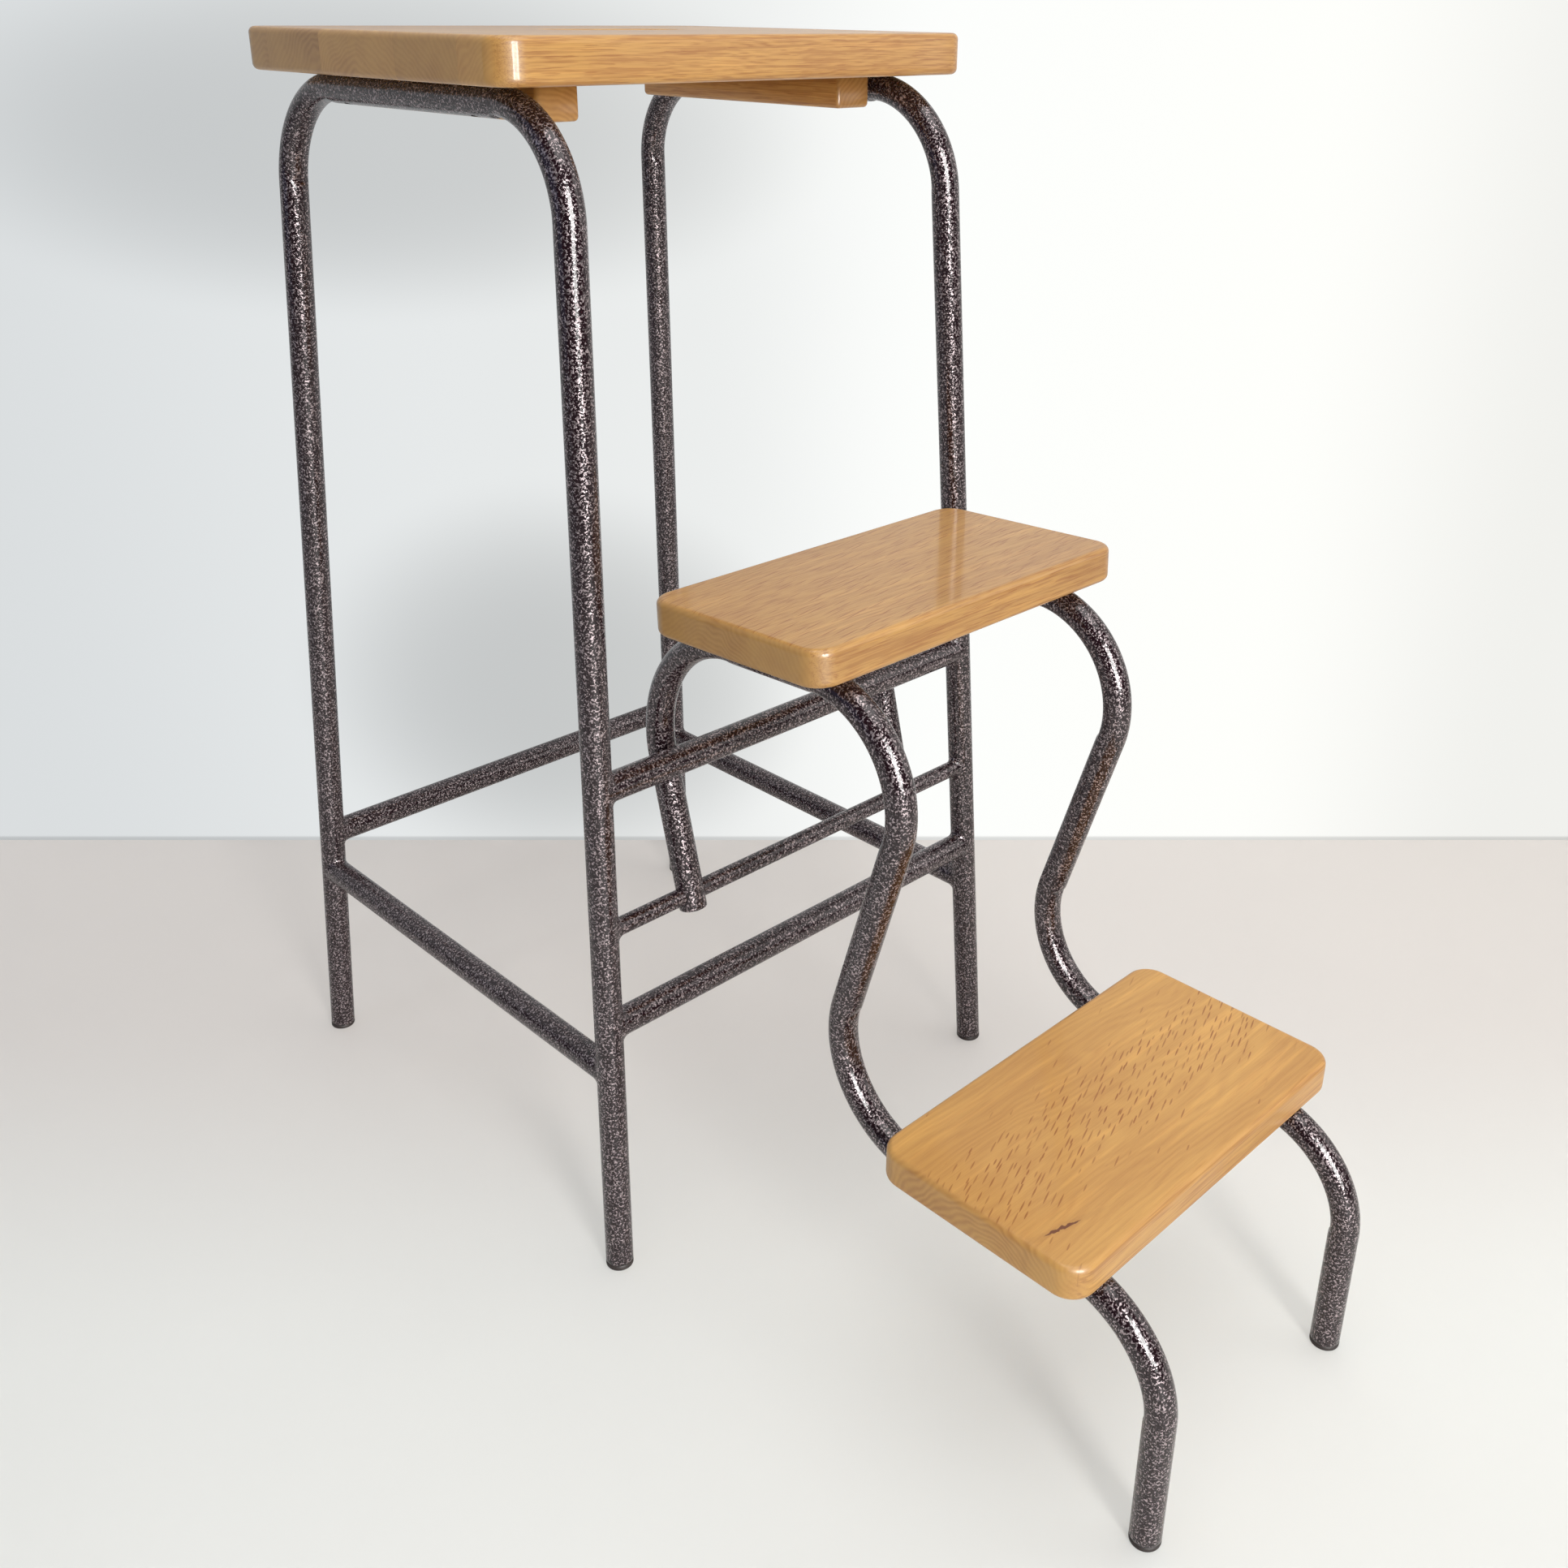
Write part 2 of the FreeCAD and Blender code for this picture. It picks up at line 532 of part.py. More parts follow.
# Step unit: boards on two bent tubes, all placed where they stand with the unit open
run_turn = Rotation(Vector(1, 0, 0), -size("upper_run_rise"))
upper_middle = Vector(0, size("upper_step_y"), size("upper_step_height"))
lower_middle = Vector(0, size("lower_step_y"), size("lower_step_height"))


def step_screw_places(level, middle, turn, side):
    """Seats of one tube's two screw heads, inside the run that carries the board with this top middle."""
    return [Placement(middle, turn).multiply(Placement(Vector(side * size("step_tube_half"),
                                                              size("%s_screw_%s" % (level, end_name)),
                                                              -evaluate("step_thick + wall_grip")), Rotation()))
            for end_name, end in ENDS]


step_places = {}
for level, middle, turn in (("upper", upper_middle, run_turn), ("lower", lower_middle, Rotation())):
    for side_name, side in SIDES:
        step_places[level, side_name] = step_screw_places(level, middle, turn, side)

for level, middle, turn in (("upper", upper_middle, run_turn), ("lower", lower_middle, Rotation())):
    name = level + "_step_board"
    blank = board(name + "_blank", "step_width", "step_depth", "step_thick", "step_corner")
    blank.Placement = Placement(middle, turn).multiply(Placement(Vector(0, 0, -size("step_thick")), Rotation()))
    places = step_places[level, "left"] + step_places[level, "right"]
    pilots = drill(name + "_pilots", places, "pilot_rad", "wall_grip + screw_bite + pilot_extra")
    nodes.append(cut(name, blank, pilots))
    screw_group(level + "_step_screws", places, "wall_grip")

STEP_TUBE_CORNERS = [("tail_y", "tail_z"), ("shoulder_y", "shoulder_z"), ("upper_knee_y", "upper_knee_z"),
                     ("lower_knee_y", "lower_run_z"), ("step_foot_y", "lower_run_z"),
                     ("step_foot_y", "foot_flange * leg_slope")]
for side_name, side in SIDES:
    name = side_name + "_step_tube"
    tube = bent_tube(name + "_bend", STEP_TUBE_CORNERS, ["shoulder_radius"] + ["bend_radius"] * 3)
    place(tube, x="%d * step_tube_half" % side)
    rod_hole = part("Cylinder", name + "_rod_hole", Radius="hole_rad", Height="2 * tube_dia")
    place(rod_hole, x="%d * step_tube_half - tube_dia" % side, y="rod_y", z="rod_height",
          rotation=ALONG_X)
    places = step_places["upper", side_name] + step_places["lower", side_name]
    nodes.append(cut(name, tube, join(name + "_holes", [rod_hole, tube_screw_holes(name, places)])))
    sole_middle = Vector(side * size("step_tube_half"), size("step_foot_y"), 0)
    plug(side_name + "_step_foot", Placement(sole_middle, Rotation()))

doc.recompute()
for item in doc.Objects:
    if "Invalid" in item.State or "Error" in item.State:
        raise RuntimeError("%s failed: %s" % (item.Name, item.State))
for node in nodes:
    if node.Shape.isNull() or not node.Shape.isValid():
        raise RuntimeError("%s has no valid shape" % node.Name)

os.makedirs("parts", exist_ok=True)
for node in nodes:
    node.Label = node.Name
    node.Shape.exportStep("parts/%s.step" % node.Name)
    print("%-22s %d solid(s) %.0f mm3" % (node.Name, len(node.Shape.Solids), node.Shape.Volume))
print("hinge through y %.3f z %.3f, upright leans %.2f degrees"
      % (size("rod_y"), size("rod_height"), size("upright_lean")))
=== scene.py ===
import math

import bmesh
import bpy
import numpy as np
from bpy.props import FloatProperty, FloatVectorProperty, PointerProperty
from mathutils import Matrix, Vector


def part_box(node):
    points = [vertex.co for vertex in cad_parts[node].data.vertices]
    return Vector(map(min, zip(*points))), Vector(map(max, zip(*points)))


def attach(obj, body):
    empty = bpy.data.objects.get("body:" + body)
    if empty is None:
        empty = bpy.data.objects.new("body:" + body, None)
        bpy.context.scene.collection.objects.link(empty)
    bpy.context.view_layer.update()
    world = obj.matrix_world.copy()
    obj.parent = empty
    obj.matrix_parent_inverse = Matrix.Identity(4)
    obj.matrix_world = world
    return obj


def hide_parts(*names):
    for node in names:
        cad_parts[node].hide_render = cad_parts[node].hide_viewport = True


# Folding step stool chair: hammer-finish tubes, oak seat and steps, plastic feet.
# Metres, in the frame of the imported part: the steps reach towards -Y, +Z is up, the floor is at nought.

bl_info = {
    "name": "Folding step stool",
    "version": (1, 0, 0),
    "blender": (4, 5, 0),
    "location": "3D View > Sidebar > Step Stool",
    "description": "Builds the tubes, boards, feet and room of a folding step stool chair",
    "category": "Add Mesh",
}

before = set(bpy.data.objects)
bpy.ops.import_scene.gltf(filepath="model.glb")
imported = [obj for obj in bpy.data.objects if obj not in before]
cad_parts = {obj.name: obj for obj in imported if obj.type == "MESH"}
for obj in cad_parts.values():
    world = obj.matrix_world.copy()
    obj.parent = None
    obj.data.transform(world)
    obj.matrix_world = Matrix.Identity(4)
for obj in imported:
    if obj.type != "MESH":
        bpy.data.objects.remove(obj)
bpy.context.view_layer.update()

MM = 0.001
SIDES = (("left", -1), ("right", 1))
ENDS = (("front", -1), ("rear", 1))

# Tubes: points round them, the step along them, and the small forms of their ends and bends.
AROUND = 48
STATION = 2.5 * MM
CHAMFER = 0.5 * MM
BORE_SHOWN = 30 * MM
PRESS_RISE, PRESS_BULGE = 10 * MM, 0.25
NOTCH_PLACE, NOTCH_WIDTH = 3 * MM, 2 * MM

# Welds: rings of a bead, how far beside a leg's axis it is cut, and its waves by height, count and turning.
WELD_RINGS = 7
CUT_WITHIN = 0.995
WELD_WAVES = ((0.16, 7, 900), (0.1, 13, 500))

# Boards and plugs: points of a corner, of a straight side and of a rounded edge, and the support loops.
CORNER_POINTS, SIDE_POINTS, EDGE_POINTS = 13, 7, 8
FACE_RINGS = 6
SUPPORT = 0.5 * MM
SOLE_POINTS, RIM = 6, 0.3 * MM
JOINED_WITHIN, SHARP_OVER = 0.002 * MM, math.radians(35)

# Hammer finish: scales of its noises, in turns a metre, and how far the drift bends the veins.
DRIFT_SCALE, VEIN_SCALE, SHADE_SCALE, DIMPLE_SCALE = 700, 780, 480, 560
DRIFT = 1.8 * MM

# Oak: scales of its drawn-out noises along the grain, across it and upwards, its growth rings, and the bend
# of a split.
FIBRE_SCALES, STREAK_SCALES = (40, 900, 900), (6, 90, 90)
LINE_SCALES, PORE_SCALES = (14, 300, 650), (50, 1400, 1400)
RINGS_A_METRE = 300
PITH_ASIDE, PITH_BELOW, PITH_DEEPER = 90 * MM, 25 * MM, 40 * MM
PITH_WANDER, PITH_SWELL = 50 * MM, 20 * MM
SPLIT_SCALE, SPLIT_BEND = 260, 3.5 * MM


# Places read from the frame

def corners(node):
    """Lowest and highest corner of a node as arrays."""
    low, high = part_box(node)
    return np.array(low), np.array(high)


def middle(node):
    return sum(corners(node)) / 2


def extent(node):
    low, high = corners(node)
    return high - low


def stool_middle():
    """The stool's middle from front to back."""
    return middle("left_side_bar")[1]


def tube_radius():
    return extent("front_lower_bar")[2] / 2


# Sizes and colours that a user can change

def length_property(label, description, millimetres):
    return FloatProperty(name=label, description=description, default=millimetres * MM, unit="LENGTH",
                         min=0.0, precision=4)


def angle_property(label, description, degrees):
    return FloatProperty(name=label, description=description, default=math.radians(degrees),
                         subtype="ANGLE")


def colour_property(label, description, colour):
    return FloatVectorProperty(name=label, description=description, default=colour, subtype="COLOR", size=3,
                               min=0.0, max=1.0)


class TubeSizes(bpy.types.PropertyGroup):
    """Sizes of the bent and straight tubes."""
    wall: length_property("Wall", "Wall thickness of the tubes", 1.5)
    bend: length_property("Bend radius", "Centreline radius of the bends", 67)
    shoulder: length_property("Shoulder radius", "Centreline radius of the bend above the pivot", 80)
    foot_half_width: length_property("Half width", "Leg centre on the floor from the middle, sideways", 187)
    foot_half_depth: length_property("Half depth", "Leg centre on the floor from the middle, lengthways", 193)
    side_lean: angle_property("Side lean", "Inward lean of each side frame", 2.55)
    leg_lean: angle_property("Leg lean", "Lean of each leg seen from the side", 2.9)
    upper_knee: length_property("Upper knee", "Corner of the upper run before the stool's middle", 392.5)
    lower_knee: length_property("Lower knee", "Corner of the lower run before the stool's middle", 303)
    run_rise: angle_property("Upper run rise", "Rise of the upper step's run towards the front", 2.6)
    tail: length_property("Tail", "Step tube beyond the rod", 10.5)
    stop_gap: length_property("Stop gap", "Upright to the bar that stops it", 0.3)
    pressed: length_property("Pressed side", "Depth that a bend's inner side is flattened", 1.3)
    crease: length_property("Crease", "Depth of the notches where a bend begins", 2.5)
    bead: length_property("Weld bead", "Width of the weld beads", 4.2)
    screw_head: length_property("Screw head", "Radius of the screw heads inside the tubes", 4)
    access_hole: length_property("Access hole", "Radius of the holes under the tubes' screws", 4.75)
    rod_hole: length_property("Rod hole", "Radius of the step tubes' holes for the rod", 6.3)


class BoardSizes(bpy.types.PropertyGroup):
    """Sizes of the seat and step boards."""
    edge: length_property("Edge rounding", "Radius of the boards' edges", 4)
    seat_corner: length_property("Seat corner", "Plan radius of the seat's corners", 18)
    step_corner: length_property("Step corner", "Plan radius of the steps' corners", 16.5)
    slot_length: length_property("Slot length", "Hand slot, sideways", 105)
    slot_width: length_property("Slot width", "Hand slot, front to back", 34)
    step_depth: length_property("Step depth", "Step boards, front to back", 148.5)
    step_thick: length_property("Step thickness", "Step boards", 23)


class FootSizes(bpy.types.PropertyGroup):
    """Sizes of the tube plugs."""
    flange: length_property("Flange", "Visible height of the plugs", 3.3)
    edge: length_property("Flange edge", "Rounding of the plug's lower edge", 0.8)


class Finishes(bpy.types.PropertyGroup):
    """Colours of the paint, wood, plastic and room."""
    paint_ground: colour_property("Paint ground", "Dark ground of the hammer finish", (0.014, 0.004, 0.007))
    paint_vein: colour_property("Paint veins", "Silver veins of the hammer finish", (0.45, 0.375, 0.39))
    oak_light: colour_property("Light oak", "Pale wood between the rings", (0.57, 0.305, 0.08))
    oak_dark: colour_property("Dark oak", "Porous wood of the rings", (0.41, 0.185, 0.043))
    oak_pore: colour_property("Oak pores", "Open pores under the varnish", (0.32, 0.105, 0.016))
    oak_split: colour_property("Oak split", "Small split in the lower step", (0.16, 0.045, 0.014))
    plastic: colour_property("Plastic", "Moulded feet", (0.03, 0.019, 0.017))
    steel: colour_property("Steel", "Zinc plated screws", (0.6, 0.6, 0.57))
    floor: colour_property("Floor", "Pale floor", (0.81, 0.77, 0.738))
    floor_near: colour_property("Floor in front", "Pale floor in the window's light", (0.925, 0.93, 0.9))
    wall_left: colour_property("Wall on the left", "White wall in bluish light", (0.95, 0.985, 1.0))
    wall_right: colour_property("Wall on the right", "White wall in warm light", (1.0, 1.0, 0.965))


# Node trees

class Wire:
    """An output socket on which arithmetic adds Math nodes."""

    def __init__(self, shader, socket):
        self.shader = shader
        self.socket = socket

    def math(self, operation, *values):
        return self.shader.add("ShaderNodeMath", {"operation": operation}, dict(enumerate(values)))

    def __add__(self, other):
        return self.math("ADD", self, other)

    __radd__ = __add__

    def __sub__(self, other):
        return self.math("SUBTRACT", self, other)

    def __rsub__(self, other):
        return self.math("SUBTRACT", other, self)

    def __mul__(self, other):
        return self.math("MULTIPLY", self, other)

    __rmul__ = __mul__

    def __truediv__(self, other):
        return self.math("DIVIDE", self, other)

    def __pow__(self, power):
        return self.math("POWER", self, power)

    def __gt__(self, other):
        return self.math("GREATER_THAN", self, other)

    def __lt__(self, other):
        return self.math("LESS_THAN", self, other)

    def __abs__(self):
        return self.math("ABSOLUTE", self)

    def output(self, name):
        """Another output of the node that this one belongs to."""
        return Wire(self.shader, self.socket.node.outputs[name])


class Shader:
    """A node tree of a material or world, with one method that adds a node."""

    def __init__(self, owner):
        owner.use_nodes = True
        self.owner = owner
        self.tree = owner.node_tree
        self.tree.nodes.clear()

    def add(self, kind, settings=None, sockets=None, output=0):
        """New node: settings first, then values or links of its sockets; returns one output as a wire."""
        node = self.tree.nodes.new(kind)
        for name, value in (settings or {}).items():
            setattr(node, name, value)
        for name, value in (sockets or {}).items():
            if isinstance(value, Wire):
                self.tree.links.new(value.socket, node.inputs[name])
            else:
                node.inputs[name].default_value = value
        return Wire(self, node.outputs[output]) if node.outputs else node

    def ease(self, value, low, high, start=0.0, end=1.0):
        """The value carried smoothly from start at low to end at high."""
        return self.add("ShaderNodeMapRange", {"interpolation_type": "SMOOTHSTEP"},
                        {"Value": value, "From Min": low, "From Max": high, "To Min": start, "To Max": end})

    def mix(self, factor, first, second):
        """Two colours mixed; plain ones are given as three numbers.

        The node's sockets go by number, because its colours share their names with its other kinds.
        """
        first, second = (colour if isinstance(colour, Wire) else [*colour, 1.0] for colour in (first, second))
        return self.add("ShaderNodeMix", {"data_type": "RGBA"}, {0: factor, 6: first, 7: second}, output=2)

    def vector(self, operation, *values, output=0, **sockets):
        places = {**dict(enumerate(values)), **sockets}
        return self.add("ShaderNodeVectorMath", {"operation": operation}, places, output)

    def combine(self, x, y, z=0.0):
        return self.add("ShaderNodeCombineXYZ", None, {0: x, 1: y, 2: z})

    def split(self, vector):
        """The three numbers of a vector."""
        first = self.add("ShaderNodeSeparateXYZ", None, {0: vector})
        return first, first.output("Y"), first.output("Z")

    def noise(self, place, scale, detail=2.0, roughness=0.5, output="Fac"):
        sockets = {"Vector": place, "Scale": scale, "Detail": detail, "Roughness": roughness}
        return self.add("ShaderNodeTexNoise", None, sockets, output)

    def bump(self, strength, distance, height):
        sockets = {"Strength": strength, "Distance": distance, "Height": height}
        return self.add("ShaderNodeBump", None, sockets)

    def scaled(self, amount, colour):
        return self.vector("SCALE", colour, Scale=amount)

    def finish(self, **sockets):
        """Principled surface with the given sockets, joined to the output."""
        surface = self.add("ShaderNodeBsdfPrincipled", None,
                           {name.replace("_", " "): value for name, value in sockets.items()})
        self.add("ShaderNodeOutputMaterial", None, {"Surface": surface})
        return self.owner


def object_place(shader):
    return shader.add("ShaderNodeTexCoord", output="Object")


def access_hole_shade_mask(shader, place, node, sizes):
    """Painted shade: one where a tube is open below its screws, which stand at the four corners of the node's
    box; the tube's surface has no hole there.
    """
    low, high = corners(node)
    centre, half = (low + high) / 2, (high - low) / 2 - sizes.screw_head
    x, y, z = shader.split(place)
    beside, before = abs(x - centre[0]) - half[0], abs(y - centre[1]) - half[1]
    near = (beside * beside + before * before) < sizes.access_hole ** 2
    return near * (z < low[2]) * (z > low[2] - 4 * sizes.access_hole)


def rod_gap_shade_mask(shader, place, node, sizes):
    """Painted shade of the gap: one round a rod that lies along X, as far out as the hole it passes through.
    """
    centre = middle(node)
    _, y, z = shader.split(place)
    back, up = y - centre[1], z - centre[2]
    return (back * back + up * up) < sizes.rod_hole ** 2


def hammer_paint(name, looks, sizes, screws, rod=None):
    """Dark gloss ground with worm-like silver veins that stand a little proud.

    A vein lies where warped noise is over its middle value. The holes below the screws and the gap round the
    rod are not cut in the surface; painted shade, dark and matt, stands for them.
    """
    shader = Shader(bpy.data.materials.new(name))
    place = object_place(shader)
    drift = shader.noise(place, DRIFT_SCALE, 1.0, output="Color")
    warped = shader.vector("MULTIPLY_ADD", drift, [DRIFT] * 3, place)
    vein = shader.ease(shader.noise(warped, VEIN_SCALE, 1.0), 0.525, 0.6)
    shade = shader.ease(shader.noise(place, SHADE_SCALE), 0.36, 0.58)
    silver = shader.mix(shade, [0.3 * part for part in looks.paint_vein], looks.paint_vein)
    # Painted shade: the holes below the screws and the gap round the rod are made dark and matt, since the
    # surface has no holes.
    painted_hole_shade = 0.0
    for node in screws:
        painted_hole_shade = painted_hole_shade + access_hole_shade_mask(shader, place, node, sizes)
    if rod:
        painted_hole_shade = painted_hole_shade + rod_gap_shade_mask(shader, place, rod, sizes)
    painted = 1 - painted_hole_shade
    colour = shader.scaled(painted, shader.mix(vein, looks.paint_ground, silver))
    bump = shader.bump(0.8, 0.16 * MM, 0.3 * vein + shader.noise(place, DIMPLE_SCALE))
    return shader.finish(Base_Color=colour, Metallic=0.7 * vein, Roughness=0.14 + 0.18 * vein + painted_hole_shade,
                         Normal=bump, Coat_Weight=0.1 * painted, Coat_Roughness=0.08)


def stave_of(shader, across, cuts, seed):
    """Middle of the stave that a place lies in, and three chance numbers of that stave."""
    middles = [(first + second) / 2 for first, second in zip(cuts, cuts[1:])]
    number = shader.add("ShaderNodeValue")
    number.socket.default_value = seed
    stave_middle = middles[0]
    for joint, before, after in zip(cuts[1:-1], middles, middles[1:]):
        beyond = across > joint
        number = number + beyond
        stave_middle = stave_middle + beyond * (after - before)
    chance = shader.add("ShaderNodeTexWhiteNoise", {"noise_dimensions": "1D"}, {"W": number}, output="Color")
    return stave_middle, shader.split(chance)


def oak(name, looks, board, grain="X", joints=(), seed=0.0, flecks=None, split=None, tone_and_painted_light=1.0,
        end_tone=0.86, gloss=0.5, fibres=0.45, pores=0.6):
    """Varnished solid oak in glued staves along the grain axis.

    Each stave has its own pith line below the board. Growth rings are the part left over of the warped
    distance from it, in rings, after the whole ones are taken off. Fibres and pores are noise drawn out along
    the grain, and the pores are thickest in the dark part of a ring. The cut ends are darker and show the
    rings and the staves more strongly, and the long sides show stronger lines.
    """
    shader = Shader(bpy.data.materials.new(name))
    place = object_place(shader)
    x, y, up = shader.split(place)
    along, across = (x, y) if grain == "X" else (y, x)
    lengthways, sideways = (0, 1) if grain == "X" else (1, 0)
    low, high = corners(board)
    centre, half = (low + high) / 2, (high - low) / 2

    def drawn(scales, detail=2.0):
        """Noise drawn out along the grain."""
        stretched = shader.combine(along * scales[0], across * scales[1], up * scales[2])
        return shader.noise(stretched, 1.0, detail, roughness=0.6)

    def border(distance, limit, start, stop):
        """Nought inside, one from the stop on, both measured inward from a face."""
        return shader.ease(abs(distance), limit - start * MM, limit - stop * MM)

    end = border(along - centre[lengthways], half[lengthways], 3, 1)
    beside = border(across - centre[sideways], half[sideways], 5, 2)
    stave_middle, chances = stave_of(shader, across, [low[sideways], *joints, high[sideways]], seed)
    reach, depth, lightness = chances
    bent = shader.combine(along * 2.4 + reach * 9, across * 8, up * 8)
    wander, swell = shader.noise(bent, 1.0) - 0.5, shader.noise(bent, 4.0) - 0.5
    from_pith = across - stave_middle + (reach - 0.5) * PITH_ASIDE + wander * PITH_WANDER
    above_pith = up - centre[2] + PITH_BELOW + depth * PITH_DEEPER + swell * PITH_SWELL
    distance = (from_pith * from_pith + above_pith * above_pith) ** 0.5
    turns = distance * RINGS_A_METRE + swell * 1.4 + wander * 3
    ring = turns.math("FRACT", turns)
    early = shader.ease(ring, 0.02, 0.55) * (1 - shader.ease(ring, 0.55, 0.98))
    fibre, streak, line = drawn(FIBRE_SCALES), drawn(STREAK_SCALES, 3.0), drawn(LINE_SCALES)
    pore = shader.ease(drawn(PORE_SCALES, 1.0), 0.55, 0.63) * (0.35 + 0.65 * early) * (1 - end)
    cloud = shader.ease(shader.noise(bent, 1.7, 3.0), 0.4, 0.65)
    dark = (0.2 + 0.35 * end * cloud) * early + 0.22 * shader.ease(streak, 0.4, 0.7) + 0.32 * cloud
    dark = dark + fibres * (1 - end) * shader.ease(fibre, 0.5, 0.62)
    dark = dark + 0.62 * beside * (1 - end) * shader.ease(line, 0.5, 0.6)
    wood = shader.mix(dark.math("MINIMUM", dark, 1.0), looks.oak_light, looks.oak_dark)
    pale = shader.ease(streak, 0.36, 0.48, 1.0, 0.0) * (1 - end)
    stave_shade = 1 + (0.16 + 0.14 * end) * (lightness - 0.5)
    # Brightness of the whole board: its wood's own colour, and on the battens painted light as well.
    shade = tone_and_painted_light * (1 - (1 - end_tone) * end) * stave_shade * (1 + 0.1 * pale)
    colour = shader.mix(pores * pore, shader.scaled(shade, wood), looks.oak_pore)
    if flecks:
        mask = fleck_mask(shader, along, across, **flecks) * (1 - beside) * (1 - end) * (up > centre[2])
        colour = shader.mix(mask, colour, looks.oak_pore)
    if split:
        colour = shader.mix(split_mask(shader, place, along, across, **split), colour, looks.oak_split)
    bump = shader.bump(0.3, 0.1 * MM, 1 - pore - 0.4 * fibre)
    return shader.finish(Base_Color=colour, Roughness=0.42 + 0.1 * fibre, Normal=bump, Coat_Weight=gloss,
                         Coat_Roughness=0.1)


def fleck_mask(shader, along, across, slant, spacing, half, centre, band, strength):
    """Dark spindles of cut rays, one about a chance place in each cell of a slanted grid.

    A spindle is where the distance across it, over its half width, plus the square of the distance along it,
    over its half length, stays below one. They thin out away from the middle of their band.
    """
    sine, cosine = math.sin(slant), math.cos(slant)
    grid = shader.combine((along * cosine + across * sine) / spacing[0],
                          (across * cosine - along * sine) / spacing[1])
    cell = shader.add("ShaderNodeTexVoronoi", {"voronoi_dimensions": "2D"}, {"Vector": grid, "Scale": 1.0},
                      output="Position")
    u, v, _ = shader.split(shader.vector("SUBTRACT", grid, cell))
    chance, chance_too, chance_last = shader.split(cell.output("Color"))
    beyond = u * (spacing[0] / half[0]) / (0.5 + 0.7 * chance)
    spindle = 1 - shader.ease(abs(v) * (spacing[1] / half[1]) + beyond * beyond, 0.55, 1.1)
    inside = 1 - shader.ease(abs(across - centre), band * 0.35, band)
    kept = shader.ease(chance_too, 0.9 - inside, 1.0 - inside)
    return strength * spindle * kept * (0.55 + 0.45 * chance_last)


def split_mask(shader, place, along, across, centre, half, slant):
    """A small split: a slanted ellipse bent by noise, dark in the middle and faint about it."""
    sine, cosine = math.sin(slant), math.cos(slant)
    u, v = along - centre[0], across - centre[1]
    bent = (shader.noise(place, SPLIT_SCALE) - 0.5) * SPLIT_BEND
    first, second = (u * cosine + v * sine) / half[0], (v * cosine - u * sine + bent) / half[1]
    square = first * first + second * second
    return (1 - shader.ease(square, 0.5, 1.2)) + 0.12 * (1 - shader.ease(square, 1.0, 9.0))


def foot_plastic(looks):
    """Dark moulded plastic, faintly mottled and scuffed."""
    shader = Shader(bpy.data.materials.new("foot_plastic_dark"))
    place = object_place(shader)
    mottle = shader.noise(place, 600, 3.0)
    scuff = shader.ease(shader.noise(place, 220, 4.0, 0.7), 0.55, 0.75)
    colour = shader.mix(0.25 * scuff, looks.plastic, (0.09, 0.07, 0.06))
    bump = shader.bump(0.3, 0.05 * MM, mottle)
    return shader.finish(Base_Color=colour, Roughness=0.4 + 0.25 * mottle, Normal=bump)


def screw_steel(looks):
    """Zinc plated steel with a faint yellow passivation and fine wear."""
    shader = Shader(bpy.data.materials.new("screw_steel_zinc"))
    place = object_place(shader)
    wear = shader.noise(place, 900, 3.0)
    colour = shader.mix(shader.ease(wear, 0.4, 0.7) * 0.4, looks.steel, (0.5, 0.47, 0.36))
    bump = shader.bump(0.2, 0.05 * MM, wear)
    return shader.finish(Base_Color=colour, Metallic=1.0, Roughness=0.25 + 0.25 * wear, Normal=bump)


# Surfaces

def new_piece(name, points, faces, material, body, nodes):
    """Mesh object from point and face arrays, riding on its body in place of the named nodes."""
    mesh = bpy.data.meshes.new(name)
    mesh.from_pydata(points.tolist(), [], faces)
    mesh.shade_smooth()
    place_piece(name, mesh, material, body, nodes)


def place_piece(name, mesh, material, body, nodes):
    """Object of a finished mesh that rides on its body in place of the named nodes."""
    mesh.materials.clear()
    mesh.materials.append(material)
    piece = bpy.data.objects.new(name, mesh)
    bpy.context.scene.collection.objects.link(piece)
    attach(piece, body)
    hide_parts(*nodes)


def skin(rings, first_pole=None, last_pole=None, looped=False):
    """Points and faces over rings of points: each ring is joined to the next and round to itself.

    A pole closes an end by a fan to one point; a looped skin joins its last ring to its first.
    """
    count, around = rings.shape[:2]
    index = np.arange(count * around).reshape(count, around)
    if looped:
        index = np.vstack([index, index[:1]])
    turned = np.roll(index, -1, axis=1)
    quads = np.stack([index[:-1], turned[:-1], turned[1:], index[1:]], axis=-1).reshape(-1, 4)
    points = rings.reshape(-1, 3)
    faces = quads.tolist()
    for pole, ring, onward in ((first_pole, 0, False), (last_pole, count - 1, True)):
        if pole is not None:
            tip = np.full(around, len(points))
            sides = (index[ring], turned[ring]) if onward else (turned[ring], index[ring])
            faces += np.stack([*sides, tip], axis=-1).tolist()
            points = np.vstack([points, pole])
    return points, faces


def unit(vector):
    return vector / np.linalg.norm(vector)


def circle(first, second):
    """Angles round a circle, and its spokes: the first vector by the cosine plus the second by the sine."""
    angle = np.linspace(0.0, 2 * math.pi, AROUND, endpoint=False)
    return angle, np.cos(angle)[:, None] * first + np.sin(angle)[:, None] * second


def smooth_step(value):
    """Nought below nought, one above one, and three squares less two cubes between."""
    value = np.clip(value, 0.0, 1.0)
    return value * value * (3 - 2 * value)


